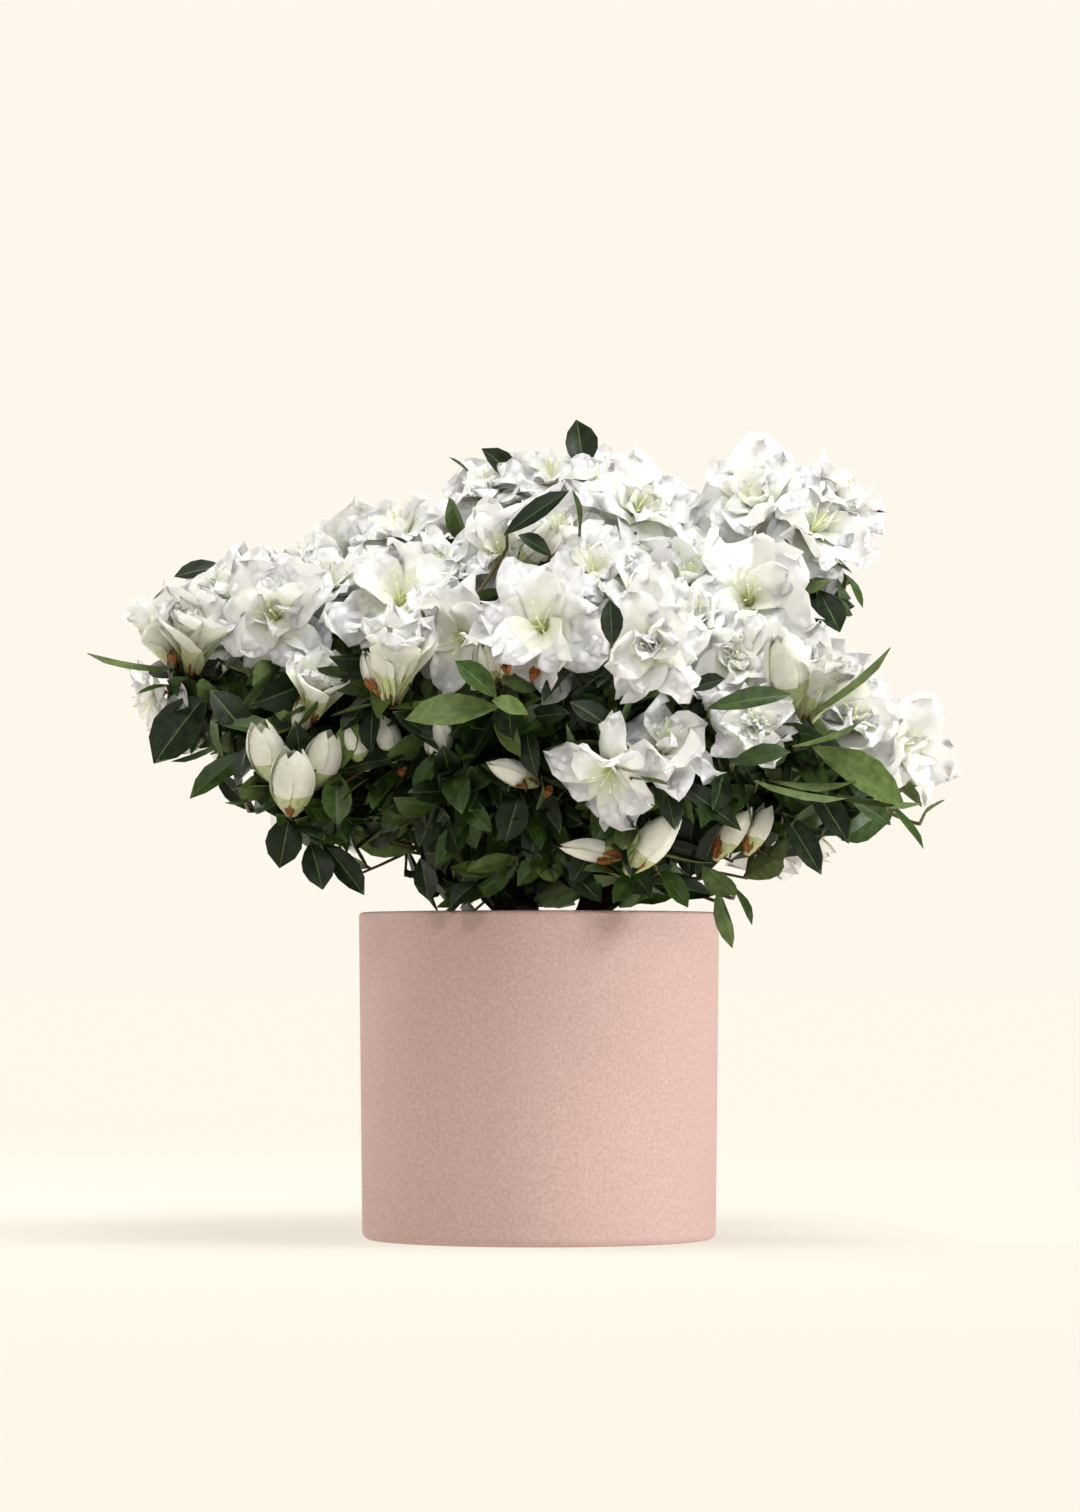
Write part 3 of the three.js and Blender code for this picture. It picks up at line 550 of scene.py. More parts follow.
def growBlooms(heap, blooms, seed):
    # blooms: (root, facing, radius in mm, turn, whorls, how far open). Slots: 0 white, 1 pale, 2 throat, 3 scale
    draw = np.random.default_rng(seed)
    for level, figures in enumerate(bloomShape["whorls"]):
        chosen = [bloom for bloom in blooms if bloom[4] > level]
        if not chosen:
            continue
        whorl = dict(zip(whorlFigures, figures))
        rows, columns = whorl["grid"]
        ranks = np.arange(rows - 1)[None, :]
        young = np.array([bloom[5] < 0.5 for bloom in chosen])[:, None]  # greener further up
        bands = np.repeat(np.where(ranks < 1 + young, 2, np.where(ranks < 3 + 2 * young, 1, 0)), columns - 1, axis=1)
        roots = np.array([bloom[0] for bloom in chosen])
        frames = np.array([np.array(frameAlong(bloom[1], bloom[3])) for bloom in chosen])
        sizes = np.array([bloom[2] for bloom in chosen])
        opens = np.array([bloom[5] for bloom in chosen])
        for k in range(whorl["petals"]):
            around = (k + whorl["turn"] + draw.uniform(-0.14, 0.14, len(chosen))) / whorl["petals"] * 2 * math.pi
            sheets = petalSheets(roots, frames, sizes, opens, around, whorl, draw)
            addShells(heap, sheets, bloomShape["thickness"], bands, bands)
    for root, facing, radius, turn, _, openness in blooms:
        first, second, third = frameAlong(facing, turn)
        pistil = [root + third * radius * t for t in (-0.04, 0.1, 0.3, 0.72, 0.76)]
        addTube(heap, pistil, [1.0, 1.9, 0.6, 0.35, 0.6], 6, 2)
        for k in range(bloomShape["stamens"]):
            angle = (k + draw.uniform(0, 0.6)) / bloomShape["stamens"] * 2 * math.pi
            outward = first * math.cos(angle) + second * math.sin(angle)
            tall = radius * draw.uniform(0.6, 0.9)
            spreading = outward * radius * 0.24 * openness
            points = [root + third * tall * t + spreading * t**2 for t in (0.1, 0.5, 0.9, 1.0)]
            addTube(heap, points, [0.3, 0.25, 0.22, 0.5], 4, 2)
        growScales(heap, root - third * 2.5, third, radius * 0.3, 5, draw, 3)


leafShape = {
    "rows": 6,
    "sides": (-1.0, -0.55, -0.045, 0.045, 0.55, 1.0),  # the narrow middle strip is the midrib
    "thickness": 0.35,
    "length": (24, 40),
    "widthShare": (0.36, 0.46),
    "apart": 1.28,  # mm between a whorl's leaves, along their twig
    "whorls": {  # how many leaves, their lean from the twig in degrees, and their scale
        "bloom": (4, (82, 118), 0.85),
        "bud": (4, (70, 112), 0.75),
        "leafy": (5, (30, 85), 1.0),
        "tip": (6, (30, 80), 1.0),
        "behind": (4, (45, 95), 0.8),
    },
}


def leafSheets(roots, ways, normals, lengths, widths, bends, draw, rows, sides):
    count = len(roots)
    share = np.linspace(0, 1, rows)[None, :]
    side = np.array(sides)[None, None, :]
    sideways = np.cross(ways, normals)
    sideways /= np.linalg.norm(sideways, axis=1, keepdims=True)
    normals = np.cross(sideways, ways)
    outline = np.sin(math.pi * share**1.15) ** 0.75 * 0.98 + 0.03
    half = widths[:, None] * 0.5 * outline
    sag = bends[:, None] * lengths[:, None] * share**2
    ahead = lengths[:, None] * share * (1 - 0.25 * np.abs(bends[:, None]) * share)
    spine = roots[:, None] + ahead[..., None] * ways[:, None] - sag[..., None] * normals[:, None]
    phase = draw.uniform(0, 2 * math.pi, (count, 1, 1))
    wave = 0.012 * lengths[:, None, None] * np.sin(share[..., None] * 8 + phase) * np.abs(side)
    lift = half[..., None] * (0.42 * np.abs(side) - 0.10 * np.abs(side) ** 3) + wave
    lateral = half[..., None] * side
    return spine[:, :, None] + lateral[..., None] * sideways[:, None, None] + lift[..., None] * normals[:, None, None]


def growScales(heap, base, axis, length, count, draw, slot):
    first, second, third = frameAlong(axis, draw.uniform(0, 6))
    around = (np.arange(count) + draw.uniform(-0.2, 0.2, count)) / count * 2 * math.pi
    outward = np.cos(around)[:, None] * first + np.sin(around)[:, None] * second
    ways = third * 0.86 + outward * 0.5
    ways /= np.linalg.norm(ways, axis=1, keepdims=True)
    normals = third * 0.5 - outward * 0.86
    lengths = length * draw.uniform(0.8, 1.25, count)
    bends = np.full(count, -0.2)
    sheets = leafSheets(base + outward * 0.8, ways, normals, lengths, lengths * 0.62, bends, draw, 5, (-1, 0, 1))
    addShells(heap, sheets, 0.2, slot, slot)


budShape = {"rows": 9, "columns": 6, "wraps": 5, "wrapAngle": 150, "girth": 0.2, "thickness": 0.3}


def growBud(heap, root, direction, length, girth, flare, turn, draw):
    # a furled bud: petals wind round each other, each over the next one's edge. Slots: 0 cream, 1 green, 2 scale
    rows, columns = budShape["rows"], budShape["columns"]
    share = np.linspace(0, 1, rows)[:, None]
    side = np.linspace(-0.5, 0.5, columns)[None, :]
    bands = np.repeat(np.where(np.arange(rows - 1) < 3, 1, 0), columns - 1)
    first, second, third = frameAlong(direction, turn)
    sheets = []
    for k in range(budShape["wraps"]):
        inner = k / budShape["wraps"]
        tall = length * (1.0 - 0.1 * ((k * 2) % 5) / 4) * draw.uniform(0.95, 1.0)
        wide = np.radians(budShape["wrapAngle"]) * np.sqrt(np.maximum(1 - share**3.2, 0.0)) + 0.04
        angle = 2 * math.pi * k / budShape["wraps"] + side * wide + 0.9 * share
        profile = np.sin(math.pi * np.clip(share * 0.9 + 0.06, 0, 1) ** 1.05) ** 0.75
        reach = length * budShape["girth"] * girth * profile * (0.86 + 0.3 * (side + 0.5))
        reach = reach + flare * length * share**3 * 0.25 - 0.6 * inner + 0.3
        sheets.append(
            root
            + alongWay(np.cos(angle) * reach, first)
            + alongWay(np.sin(angle) * reach, second)
            + alongWay(share * tall * np.ones_like(angle), third)
        )
    addShells(heap, np.array(sheets), budShape["thickness"], bands, bands)


regions = {  # each region's sprays make one piece of each kind
    "left": ("left_outer", "left_front", "left_low", "top_left", "back_left"),
    "front": ("centre_left", "front_under", "front", "front_low", "rim_left", "rim_right"),
    "top": ("top_centre", "top_front", "right_centre", "right_top"),
    "right": ("right_front", "right_outer", "right_low", "back_right", "back_right_low"),
    "back": ("back_left_top", "back_left_low", "back_top", "back", "back_right_mid", "back_low", "back_right_top"),
}
regionOf = {spray: region for region, names in regions.items() for spray in names}


def sprayTips(row, draw):
    # the rule of the solids, draw for draw
    outward = unit(np.array(row[2], float) - heart)
    level = unit(np.array([outward[0], outward[1], 0.0]))
    blooms, buds, leafy, roll = row[4:]
    ways = (
        ("bloom", blooms, outward, (0, 0, 36, 44, 50)[blooms]),
        ("bud", buds, unit(level + up * 0.25), 58),
        ("leafy", leafy, unit(level - up * 0.55), 62),
    )
    tips = []
    for kind, count, axis, lean in ways:
        first, second, third = frameAlong(axis)
        for k in range(count):
            around = math.radians(roll) + (k + 0.3 * draw()) / count * 2 * math.pi
            tilt = math.radians(lean * (0.85 + 0.3 * draw()))
            aside = first * math.sin(tilt) * math.cos(around) + second * math.sin(tilt) * math.sin(around)
            tips.append((kind, third * math.cos(tilt) + aside, 0.88 + 0.24 * draw(), draw() * 2 * math.pi))
    return tips


def facingWay(right, front, high):
    return unit(np.array([right, -front, high], float))


planLook = {
    "stands": {"bloom": 25, "bud": 22, "leafy": 29},  # mm from a tip's foot to its spray's edge
    "bloomRadius": 27,
    "budLength": 28,
    "clearance": 34,  # mm from the listed flowers
    "behindFront": -20,  # how far forward the rule still sets flowers
    "narrowLeaf": 18,  # pixels; narrower ones are seen nearly edge-on
}


def planCrown():
    # every bloom, bud, leafy tip and set leaf, each with the spray that carries it
    plan = {index: {"blooms": [], "buds": [], "leafy": [], "leaves": []} for index in range(len(sprays))}
    chosen = []
    for x, y, radius, depth, facing, whorls in frontBlooms:
        way = facingWay(*facing)
        middle = placed(x, y, depth)
        size = radius / shot["pixelsPerMm"] * (shot["distance"] + depth) / shot["distance"]
        root = middle - way * size * bloomShape["middle"]
        turn = (x * 0.37 + y * 0.11) % (2 * math.pi)
        plan[nearestSpray(root)]["blooms"].append((root, way, size, turn, whorls, 1.0))
        chosen.append(middle)
    for x, y, length, depth, pointing, girth, flare in frontBuds:
        way = facingWay(*pointing)
        size = length / shot["pixelsPerMm"] / math.hypot(way[0], way[2])
        middle = placed(x, y, depth)
        root = middle - way * size * 0.5
        if flare > bloomShape["opening"]:
            turn = (x * 0.29 + y * 0.17) % (2 * math.pi)
            plan[nearestSpray(middle)]["blooms"].append((root, way, size * bloomShape["openingSize"], turn, 3, flare))
        else:
            plan[nearestSpray(middle)]["buds"].append((root, way, size, girth, flare))
        chosen.append(middle)
    for footX, footY, tipX, tipY, width, depth, tone in frontLeaves:
        foot, tip = placed(footX, footY, depth), placed(tipX, tipY, depth - 6)
        length = np.linalg.norm(tip - foot)
        way = (tip - foot) / length
        tilt = 0.9 if width > planLook["narrowLeaf"] else 0.25
        normal = unit(np.array([0.1, -tilt, 1.0 - 0.4 * tilt]) * (1 if tone < 3 else -1))
        wide = max(width / shot["pixelsPerMm"], length * 0.3)
        plan[nearestSpray(foot)]["leaves"].append((foot, way, normal, length, wide, 0.12, tone))
    chosen = np.array(chosen)
    for index, row in enumerate(sprays):
        draw = seededStream(firstSeed * (index + 1))
        behind = row[0].startswith("back")
        for kind, direction, size, turn in sprayTips(row, draw):
            stand = planLook["stands"][kind] * size
            root = centres[index] + direction * (row[3] - stand)
            middle = root + direction * stand * 0.6
            apart = np.linalg.norm(chosen - middle, axis=1).min()
            free = apart > planLook["clearance"] and middle[1] > planLook["behindFront"]
            if kind == "leafy":
                plan[index]["leafy"].append((root, direction))
            elif (behind or free) and kind == "bloom":
                whorls = 3 if turn < 4.5 else 4
                plan[index]["blooms"].append((root, direction, planLook["bloomRadius"] * size, turn, whorls, 1.0))
            elif behind or free:
                plan[index]["buds"].append((root, direction, planLook["budLength"] * size, 0.95, 0.2 * (turn % 1)))
    return plan


twigShape = {
    "sides": 5,
    "steps": 5,
    "bow": 0.1,  # as a share of its length
    "radii": {"bloom": (1.1, 0.9), "bud": (1.0, 0.9), "leafy": (0.9, 0.6), "tip": (1.0, 0.7)},  # at its foot and end
    "stepBack": (0.0, 30.0, -4.0),  # from a listed leaf to where its twig bends
}


def growTwig(heap, start, end, kind, draw):
    way = end - start
    length = np.linalg.norm(way)
    first, second, _ = frameAlong(way)
    most = twigShape["bow"]
    bow = first * draw.uniform(-most, most) * length + second * draw.uniform(-most, most) * length
    share = np.linspace(0, 1, twigShape["steps"])[:, None]
    points = start + way * share + bow * np.sin(math.pi * share)
    thick, thin = twigShape["radii"][kind]
    addTube(heap, points, thick + (thin - thick) * share[:, 0], twigShape["sides"], 1)


def leafWhorl(end, direction, kind, draw):
    # leaves: (root, direction, normal, length, width, bend, tone)
    count, lean, scale = leafShape["whorls"][kind]
    leaves = []
    around = (np.arange(count) + draw.uniform(-0.25, 0.25, count)) / count * 2 * math.pi + draw.uniform(0, 6)
    first, second, third = frameAlong(direction)
    for k, angle in enumerate(around):
        tilt = math.radians(draw.uniform(*lean))
        outward = first * math.cos(angle) + second * math.sin(angle)
        way = unit(third * math.cos(tilt) + outward * math.sin(tilt))
        normal = unit(third * math.sin(tilt) - outward * math.cos(tilt) + up * 0.5)
        length = draw.uniform(*leafShape["length"]) * scale
        width = length * draw.uniform(*leafShape["widthShare"])
        tone = int(draw.choice(3, p=crownLook["tones"]))
        root = end - third * leafShape["apart"] * k
        leaves.append((root, way, normal, length, width, draw.uniform(-0.1, 0.35), tone))
    return leaves


def growFromBehind(heap, start, foot, draw):
    # a leafy twig that comes straight forwards at its end, so that it crosses less of what stands behind its leaf
    bend = foot + np.array(twigShape["stepBack"])
    back = [start + (bend - start) * share for share in (0.0, 0.35, 0.7, 0.94)]
    path = back + [bend + (foot - bend) * share for share in (0.1, 0.5, 1.0)]
    addTube(heap, path, np.linspace(*twigShape["radii"]["tip"], len(path)), twigShape["sides"], 1)
    return [leaf for k in (2, 3, 5) for leaf in leafWhorl(path[k], unit(foot - start), "behind", draw)]


crownLook = {
    "twigsLow": 24,  # leafy twigs in a spray without blooms
    "twigsHigh": 16,  # and in one with them
    "innerTwigs": 26,  # along each bough
    "tones": (0.62, 0.31, 0.07),  # deep, green and fresh leaves
    # the rest holds the tips of the rule's leaves, not of the listed ones
    "proud": 4,  # mm they may stand out of their spray
    "proudInside": 60,  # and inside the crown, between the sprays
    "middle": (3, 12, 235),  # of the egg they stay in
    "halfSize": (186, 172, 124),
    "potTop": (83, 146),  # within this radius they stay above this height
    # their lower and upper edges from the best side, in pixels
    "lowerEdge": [
        (100, 700), (150, 765), (200, 770), (260, 805), (275, 840), (330, 850), (358, 842), (372, 815), (402, 818),
        (424, 858), (432, 925), (640, 925), (668, 830), (700, 822), (760, 830), (800, 850), (856, 838), (930, 825),
        (965, 795),
    ],
    "upperEdge": [
        (100, 660), (150, 640), (180, 575), (225, 560), (270, 545), (330, 520), (400, 505), (450, 475), (500, 458),
        (560, 448), (600, 455), (680, 492), (700, 515), (720, 490), (770, 470), (850, 480), (880, 530), (872, 600),
        (850, 640), (900, 672), (965, 790),
    ],
}


def edgeHeight(edge, x):
    columns, heights = zip(*edge)
    return np.interp(x, columns, heights)


def inPixels(point):
    scale = shot["pixelsPerMm"] * shot["distance"] / (shot["distance"] + point[1])
    return shot["axisPixel"] + point[0] * scale, shot["horizonPixel"] - (point[2] - shot["height"]) * scale


def clearOfBlooms(points, blooms):
    # true if no point is before an open flower's face, nor between a forward one and whoever looks at the best side
    roots, ways, sizes = blooms
    for point in points:
        offset = point - roots
        height = (offset * ways).sum(axis=1)
        across = np.linalg.norm(offset - height[:, None] * ways, axis=1)
        if ((height > 0.22 * sizes) & (height < 2.4 * sizes) & (across < 1.05 * sizes)).any():
            return False
        middles = roots + ways * bloomShape["middle"] * sizes[:, None]
        offset = point - middles
        covered = (offset[:, 1] < 0) & (np.hypot(offset[:, 0], offset[:, 2]) < 0.92 * sizes) & (ways[:, 1] < 0.1)
        if covered.any():
            return False
    return True


def leafFits(leaf, blooms, proud):
    root, way, _, length = leaf[:4]
    tip = root + way * length
    if (np.linalg.norm(centres - tip, axis=1) - reaches).min() > proud:
        return False
    if np.linalg.norm((tip - crownLook["middle"]) / crownLook["halfSize"]) > 1:
        return False
    if math.hypot(tip[0], tip[1]) < crownLook["potTop"][0] and tip[2] < crownLook["potTop"][1]:
        return False
    x, y = inPixels(tip)
    if not edgeHeight(crownLook["upperEdge"], x) < y < edgeHeight(crownLook["lowerEdge"], x):
        return False
    return clearOfBlooms([root + way * length * share for share in (0.2, 0.6, 1.0)], blooms)


def fitting(leaves, blooms, rule):
    return [leaf for leaf in leaves if leafFits(leaf, blooms, crownLook[rule])]


def growCrown():
    plan = planCrown()
    heaps = {region: {kind: newHeap() for kind in ("leaves", "blossom", "buds", "twigs")} for region in regions}
    every = [bloom for entry in plan.values() for bloom in entry["blooms"] if bloom[5] > 0.9]
    blooms = (np.array([b[0] for b in every]), np.array([b[1] for b in every]), np.array([b[2] for b in every]))
    for index, row in enumerate(sprays):
        heap = heaps[regionOf[row[0]]]
        draw = np.random.default_rng(firstSeed + index)
        curve = sprayStem(index)
        outward = unit(centres[index] - heart)
        shares = np.linspace(0, 1, 7)
        addTube(heap["twigs"], [curve(s) for s in shares], 2.3 - 0.5 * shares, 8, 0)
        leaves = []
        for root, way, *_ in plan[index]["blooms"]:
            growTwig(heap["twigs"], curve(draw.uniform(0.6, 0.98)), root + way, "bloom", draw)
            leaves += leafWhorl(root - way * 3, way, "bloom", draw)
        for root, way, size, girth, flare in plan[index]["buds"]:
            growTwig(heap["twigs"], curve(draw.uniform(0.6, 0.98)), root + way, "bud", draw)
            growBud(heap["buds"], root, way, size, girth, flare, draw.uniform(0, 6), draw)
            growScales(heap["buds"], root - way * 0.8, way, size * 0.42, 6, draw, 2)
            leaves += leafWhorl(root - way * 2, way, "bud", draw)
        flowery = row[4] >= 2
        for _ in range(crownLook["twigsHigh" if flowery else "twigsLow"]):
            way = unit(draw.normal(size=3))
            if flowery and np.dot(way, outward) > 0.25:
                way = way - 2 * np.dot(way, outward) * outward
            end = centres[index] + way * row[3] * draw.uniform(0.3, 0.62 if flowery else 0.82)
            start = curve(draw.uniform(0.5, 0.98))
            whorl = fitting(leafWhorl(end, unit(way + outward * 0.3), "leafy", draw), blooms, "proud")
            if len(whorl) > 1:
                growTwig(heap["twigs"], start, end, "leafy", draw)
                leaves += whorl
        for root, way in plan[index]["leafy"]:
            growTwig(heap["twigs"], curve(0.9), root, "tip", draw)
            leaves += leafWhorl(root, way, "tip", draw)
        leaves = fitting(leaves, blooms, "proud")
        for leaf in plan[index]["leaves"]:
            along = growFromBehind(heap["twigs"], curve(draw.uniform(0.7, 0.98)), leaf[0] + leaf[1] * 1.5, draw)
            leaves += fitting(along, blooms, "proudInside") + [leaf]
        addLeaves(heap["leaves"], leaves, draw)
        if plan[index]["blooms"]:
            growBlooms(heap["blossom"], plan[index]["blooms"], firstSeed + 31 * index)
    inner = {part: {"leaves": newHeap(), "twigs": newHeap()} for part in ("inner_front", "inner_back")}
    growInner(inner["inner_front"], inner["inner_back"], blooms)
    growBracts(heaps["front"], blooms)
    for region, heap in {**heaps, **inner}.items():
        nodes = ["spray_" + name for name in regions.get(region, ())]
        leafNames = ["leafDeep", "leafGreen", "leafFresh", "leafBack", "leafRib"]
        buildPiece(f"leaves_{region}", heap["leaves"], leafNames, nodes)
        buildPiece(f"twigs_{region}", heap["twigs"], ["bark", "shoot"])
        if region in heaps:
            petalNames = ["petalWhite", "petalPale", "petalThroat", "budScale"]
            buildPiece(f"blossom_{region}", heap["blossom"], petalNames)
            buildPiece(f"buds_{region}", heap["buds"], ["budCream", "budGreen", "budScale"])


def addLeaves(heap, leaves, draw):
    # slots: 0 deep, 1 green, 2 fresh, 3 back, 4 midrib
    if not leaves:
        return
    roots, ways, normals, lengths, widths, bends, tones = (np.array(column) for column in zip(*leaves))
    rows, sides = leafShape["rows"], leafShape["sides"]
    sheets = leafSheets(roots, ways, normals, lengths, widths, bends, draw, rows, sides)
    ribs = np.tile(np.arange(len(sides) - 1) == (len(sides) - 1) // 2, rows - 1)
    tops = np.where(ribs[None], 4, np.minimum(tones, 2)[:, None])
    addShells(heap, sheets, leafShape["thickness"], tops, np.where(ribs, 4, 3))


def growInner(frontHeap, backHeap, blooms):
    # leafy twigs along the boughs, which fill the crown's middle
    draw = np.random.default_rng(firstSeed * 3)
    for curve in boughCurves.values():
        for _ in range(crownLook["innerTwigs"]):
            start = curve(draw.uniform(0.3, 1.0))
            way = unit(draw.normal(size=3) + up * 0.3 + unit(start - heart) * 0.4)
            end = start + way * draw.uniform(14, 46)
            heap = frontHeap if end[1] < 10 else backHeap
            leaves = fitting(leafWhorl(end, way, "leafy", draw), blooms, "proudInside")
            if leaves:
                growTwig(heap["twigs"], start, end, "leafy", draw)
                addLeaves(heap["leaves"], leaves, draw)


def growBracts(heap, blooms):
    draw = np.random.default_rng(firstSeed * 5)
    for x, y, length, depth, pointing in frontBracts:
        foot = placed(x, y, depth)
        along = growFromBehind(heap["twigs"], sprayStem(nearestSpray(foot))(0.9), foot, draw)
        addLeaves(heap["leaves"], fitting(along, blooms, "proudInside"), draw)
        growScales(heap["buds"], foot, facingWay(*pointing), length / shot["pixelsPerMm"], 5, draw, 2)


growCrown()
print("crown grown")

barkLook = {"stemSides": 28, "stemRings": 16, "sides": 18, "rings": 26, "ridges": 7, "depth": 0.07, "twist": 1.3}


def barkRelief(seed, flare=0.0):
    draw = np.random.default_rng(seed)
    phases = draw.uniform(0, 2 * math.pi, 4)

    def relief(share, angles):
        turn = angles + barkLook["twist"] * share
        ridges = np.sin(turn * barkLook["ridges"] + phases[0] + 2.5 * math.sin(share * 9 + phases[1]))
        lumps = np.sin(turn * 3 + share * 17 + phases[2]) * 0.6 + np.sin(share * 31 + phases[3]) * 0.4
        foot = flare * (1 - share) ** 2 * np.cos(5 * angles)
        return 1 + barkLook["depth"] * (ridges * 0.6 + lumps * 0.5) + foot

    return relief


def growLimbs():
    heap = newHeap()
    for number, (name, row) in enumerate(stems.items()):
        shares = np.linspace(0, 1, barkLook["stemRings"])
        radii = row["topRadius"] + (row["footRadius"] - row["topRadius"]) * (1 - shares) ** 2
        path = [stemPoint(name, s) for s in shares]
        addTube(heap, path, radii, barkLook["stemSides"], 0, barkRelief(number + 1, row["flare"]))
    buildPiece("stems", heap, ["bark"], list(stems))
    heap = newHeap()
    for number, curve in enumerate(boughCurves.values()):
        shares = np.linspace(0, 1, barkLook["rings"])
        radii = boughRadii[0] + (boughRadii[1] - boughRadii[0]) * shares
        addTube(heap, [curve(s) for s in shares], radii, barkLook["sides"], 0, barkRelief(number + 11))
    buildPiece("boughs", heap, ["bark"], list(boughs))


growLimbs()
print("trunk and boughs made")

hair = 1e-5  # m, a length that counts as none
potSize = {
    "rimRadius": 80,
    "footRadius": 78.5,
    "height": 145,
    "wall": 7,
    "floor": 9,
    "footRound": 4,
    "rimRound": 2,
    "sides": 128,
}


def freshStart():
    bpy.ops.object.select_all(action="DESELECT")


def selectFaces(piece, rule):
    # picks faces in edit mode by their middle and normal
    bpy.ops.mesh.select_all(action="DESELECT")
    bpy.ops.object.mode_set(mode="OBJECT")
    for polygon in piece.data.polygons:
        polygon.select = rule(polygon)
    bpy.ops.object.mode_set(mode="EDIT")


def settle(piece, name):
    # the place goes into the mesh, so that the object sits at the origin
    bpy.ops.object.mode_set(mode="OBJECT")
    piece.name = name
    bpy.ops.object.transform_apply(location=True, rotation=True, scale=True)


def makePot():
    size = {key: value * mm for key, value in potSize.items() if key != "sides"}
    freshStart()
    middle = (0, 0, size["height"] / 2)
    bpy.ops.mesh.primitive_cylinder_add(
        vertices=potSize["sides"], radius=size["footRadius"], depth=size["height"], location=middle
    )
    pot = bpy.context.object
    bpy.ops.object.mode_set(mode="EDIT")
    bpy.ops.mesh.select_mode(type="FACE")
    selectFaces(pot, lambda face: face.normal.z > 0.9)
    flare = size["rimRadius"] / size["footRadius"]
    bpy.ops.transform.resize(value=(flare, flare, 1))
    bpy.ops.mesh.inset(thickness=size["wall"])
    bpy.ops.mesh.extrude_region_move(TRANSFORM_OT_translate={"value": (0, 0, size["floor"] - size["height"])})
    narrow = (size["footRadius"] - size["wall"]) / (size["rimRadius"] - size["wall"])
    bpy.ops.transform.resize(value=(narrow, narrow, 1))
    bpy.ops.mesh.inset(thickness=size["wall"] * 2)
    bpy.ops.object.mode_set(mode="OBJECT")
    settle(pot, "pot_body")
    edges = pot.data.attributes.new("bevel_weight_edge", "FLOAT", "EDGE")
    corners = pot.data.vertices
    for edge in pot.data.edges:
        heights = [corners[v].co.z for v in edge.vertices]
        wide = math.hypot(*corners[edge.vertices[0]].co.xy)
        if abs(heights[0] - heights[1]) > hair or wide < size["footRadius"] - size["wall"] * 1.5:
            continue
        if heights[0] > size["height"] - hair:
            edges.data[edge.index].value = size["rimRound"] / size["footRound"]
        elif heights[0] < hair:
            edges.data[edge.index].value = 1.0
    bevel = pot.modifiers.new("soft edges", "BEVEL")
    bevel.limit_method = "WEIGHT"
    bevel.width = size["footRound"]
    bevel.segments = 5
    bpy.ops.object.modifier_apply(modifier=bevel.name)
    bpy.ops.object.shade_smooth_by_angle(angle=math.radians(35))
    pot.data.materials.append(materials["stoneware"])
    keepPiece(pot, ["pot"])


makePot()
print("pot made")

soilLook = {
    "radius": 72.0,
    "bottom": 9.3,
    "rings": 6,
    "ringWidth": 9,
    "lump": 1.6,
    "crumbs": 700,
    "crumbReach": 70,
    "crumbSize": (0.8, 2.6),
    "stemRoom": 1.3,  # of a stem's foot radius, that crumbs keep off it
    "seed": 5,
}


def soilDrop(wide):  # how far the soil has fallen below its middle
    slope = np.clip((wide - soil["flatRadius"]) / (soilLook["radius"] - soil["flatRadius"]), 0, 1)
    return (soil["crownHeight"] - soil["edgeHeight"]) * slope


def besideStem(x, y):
    gaps = [math.hypot(x - row["foot"][0], y - row["foot"][1]) / row["footRadius"] for row in stems.values()]
    return min(gaps) < soilLook["stemRoom"]


def makeSoil():
    freshStart()
    top, bottom = soil["crownHeight"], soilLook["bottom"]
    bpy.ops.mesh.primitive_cylinder_add(
        vertices=96,
        radius=(soilLook["radius"] - soilLook["lump"]) * mm,
        depth=(top - bottom) * mm,
        location=(0, 0, (top + bottom) / 2 * mm),
    )
    body = bpy.context.object
    bpy.ops.object.mode_set(mode="EDIT")
    bpy.ops.mesh.select_mode(type="FACE")
    selectFaces(body, lambda face: face.normal.z > 0.9)
    for _ in range(soilLook["rings"]):
        bpy.ops.mesh.inset(thickness=soilLook["ringWidth"] * mm)
    settle(body, "soil_body")
    draw = np.random.default_rng(soilLook["seed"])
    for vertex in body.data.vertices:
        wide = math.hypot(vertex.co.x, vertex.co.y) / mm
        if vertex.co.z > (top - 1) * mm:
            vertex.co.z -= (soilDrop(wide) + draw.uniform(0.1, soilLook["lump"])) * mm
    body.data.materials.append(materials["peat"])
    bpy.ops.object.shade_smooth_by_angle(angle=math.radians(40))
    keepPiece(body, ["potting_soil"])
    heap = newHeap()
    for _ in range(soilLook["crumbs"]):
        angle, wide = draw.uniform(0, 2 * math.pi), soilLook["crumbReach"] * math.sqrt(draw.uniform(0, 1))
        x, y = wide * math.cos(angle), wide * math.sin(angle)
        if besideStem(x, y):
            continue
        middle = np.array([x, y, top - soilDrop(wide) - 0.3])
        big = draw.uniform(*soilLook["crumbSize"])
        lengthwise = unit(draw.normal(size=3) * (1, 1, 0.3)) * big
        points = [middle + lengthwise * t for t in (-0.5, -0.3, 0.3, 0.5)]
        addTube(heap, points, big * np.array([0.15, 0.4, 0.45, 0.15]), 5, 0)
    buildPiece("soil_crumbs", heap, ["peat"])


makeSoil()
print("soil made")

stageLook = {
    "radius": 40.0,  # of the floor, in m
    "colour": "#FEF8EC",
    "paper": "#8C8881",  # what it throws back of the light that falls on it
    "glow": (0.918, 0.632),  # where no light reaches, and right under the crown's light
    "ambient": 0.33,  # the room's own light
}
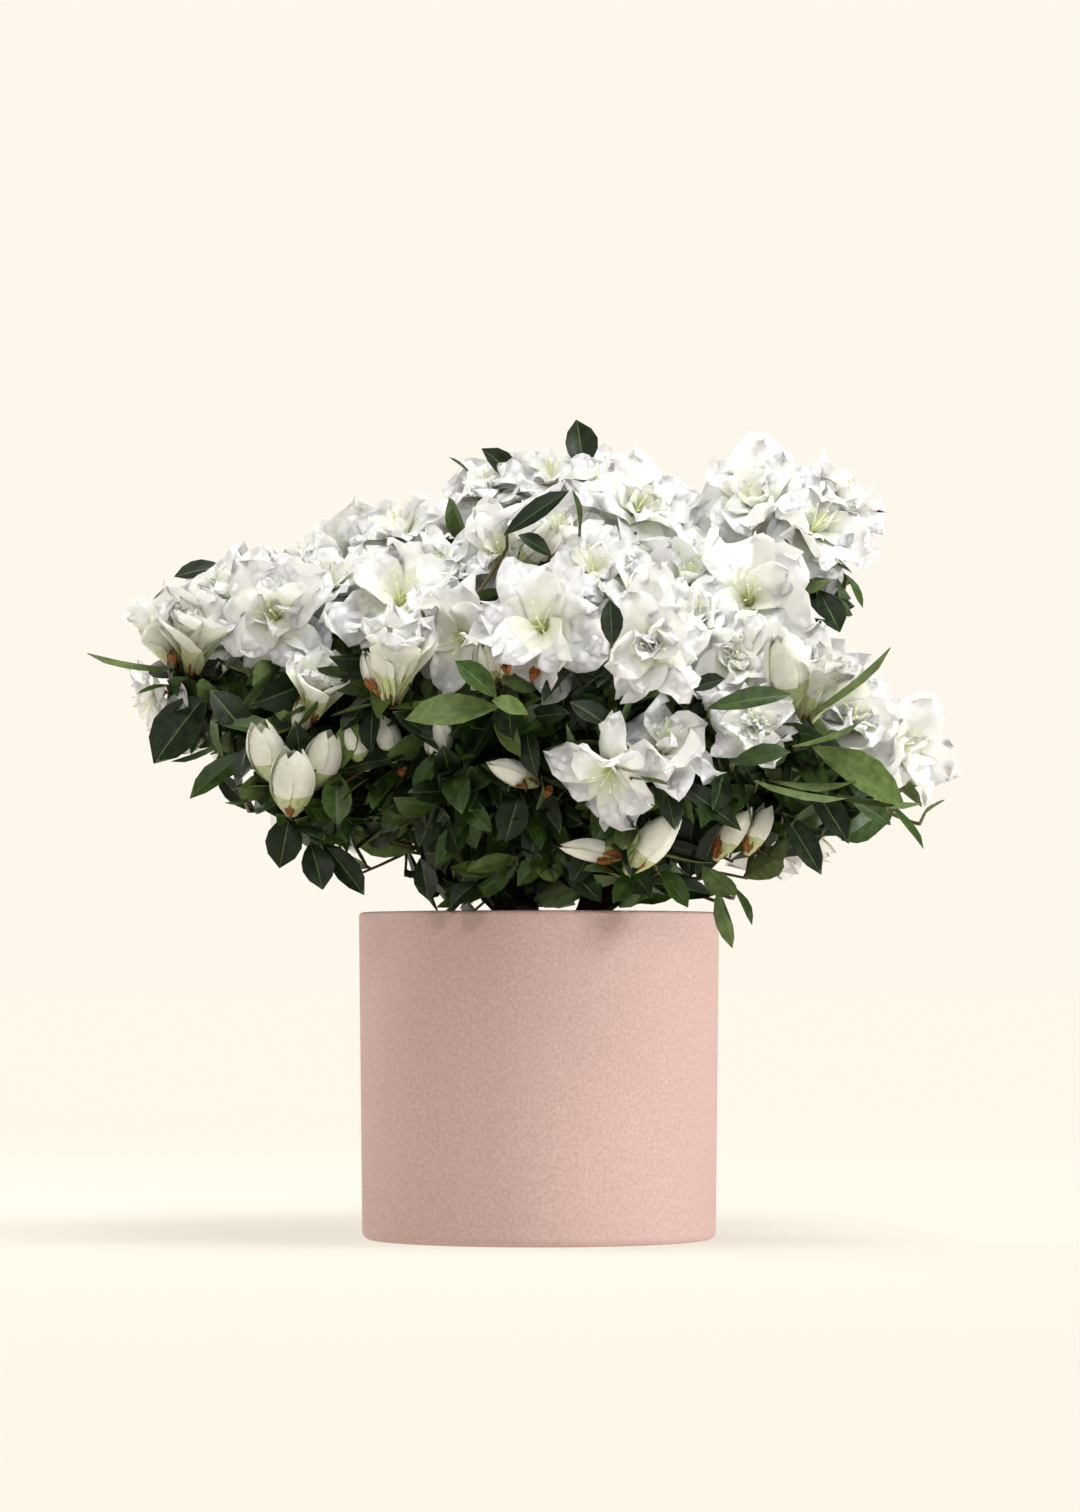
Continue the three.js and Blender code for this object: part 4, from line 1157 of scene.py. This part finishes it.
# each light's bearing and elevation, the height it aims at, its distance and size in m, its spread, how bright
# it makes a white card at the plant, and its colour
lights = {
    "side": (76, 3, 0.2, 2.4, 0.5, 40, 0.88, "#FDFBF8"),
    "crown": (32, 70, 0.2, 2.4, 1.5, 180, 1.14, "#FFFDFA"),
    "front": (-12, 30, 0.33, 2.4, 0.9, 16, 0.86, "#FFFDFA"),
    "rim": (-125, 20, 0.2, 2.4, 1.0, 70, 0.52, "#FFFBF5"),
}


def lightPlace(bearing, elevation, height, distance):
    side, rise = math.radians(bearing), math.radians(elevation)
    outward = Vector((math.sin(side) * math.cos(rise), -math.cos(side) * math.cos(rise), math.sin(rise)))
    return Vector((0, 0, height)), Vector((0, 0, height)) + distance * outward


def makeStage():
    freshStart()
    bpy.ops.mesh.primitive_circle_add(vertices=96, radius=stageLook["radius"], fill_type="NGON")
    floor = bpy.context.object
    floor.name = "floor"
    paper = bpy.data.materials.new("creamPaper")  # matt paper, partly lit from within so that it stays even
    paper.use_nodes = True
    tree = paper.node_tree
    surface = tree.nodes["Principled BSDF"]
    surface.inputs["Base Color"].default_value = linear(stageLook["paper"])
    surface.inputs["Roughness"].default_value = 1.0
    surface.inputs["Specular IOR Level"].default_value = 0.0
    surface.inputs["Emission Color"].default_value = linear(stageLook["colour"])
    # it glows less by as much as the crown's light falls on it
    place = addNode(tree, "ShaderNodeTexCoord", {}).outputs["Object"]
    target, source = lightPlace(*lights["crown"][:4])
    offset = addNode(tree, "ShaderNodeVectorMath", {0: place, 1: source}, operation="SUBTRACT").outputs["Vector"]
    away = addNode(tree, "ShaderNodeVectorMath", {0: offset}, operation="LENGTH").outputs["Value"]
    beam = (target - source).normalized() * source.z
    ahead = addNode(tree, "ShaderNodeVectorMath", {0: offset, 1: beam}, operation="DOT_PRODUCT").outputs["Value"]
    fading = addNode(tree, "ShaderNodeMath", {0: away, 1: -4.0}, operation="POWER").outputs["Value"]
    lit = addNode(tree, "ShaderNodeMath", {0: ahead, 1: fading}, operation="MULTIPLY").outputs["Value"]
    far, under = stageLook["glow"]
    glow = addNode(tree, "ShaderNodeMapRange", {"Value": lit, "From Max": source.z**-2, "To Min": far, "To Max": under})
    tree.links.new(glow.outputs["Result"], surface.inputs["Emission Strength"])
    floor.data.materials.append(paper)


def makeLights():
    for name, (bearing, elevation, height, distance, size, spread, level, colour) in lights.items():
        target, place = lightPlace(bearing, elevation, height, distance)
        data = bpy.data.lights.new(name, "AREA")
        data.shape = "DISK"
        data.size = size
        data.spread = math.radians(spread)
        half = math.radians(min(spread, 179) / 2)
        gain = math.tan(half) / (math.tan(half) - half)  # a narrow spread sends more of its power forwards
        data.energy = level * (math.pi * distance) ** 2 / gain
        data.color = linear(colour)[:3]
        light = bpy.data.objects.new(name, data)
        light.location = place
        light.rotation_euler = (target - place).to_track_quat("-Z", "Y").to_euler()
        bpy.context.scene.collection.objects.link(light)
    world = bpy.data.worlds.new("room")
    bpy.context.scene.world = world
    world.use_nodes = True
    tree = world.node_tree
    room = tree.nodes["Background"]
    room.inputs["Color"].default_value = linear(stageLook["colour"])
    seen = addNode(tree, "ShaderNodeLightPath", {}).outputs["Is Camera Ray"]  # the room is dimmer than it looks
    level = addNode(tree, "ShaderNodeMapRange", {"Value": seen, "To Min": stageLook["ambient"], "To Max": 1.0})
    tree.links.new(level.outputs["Result"], room.inputs["Strength"])
    bpy.context.scene.view_settings.view_transform = "Standard"


makeStage()
makeLights()
print("stage set")
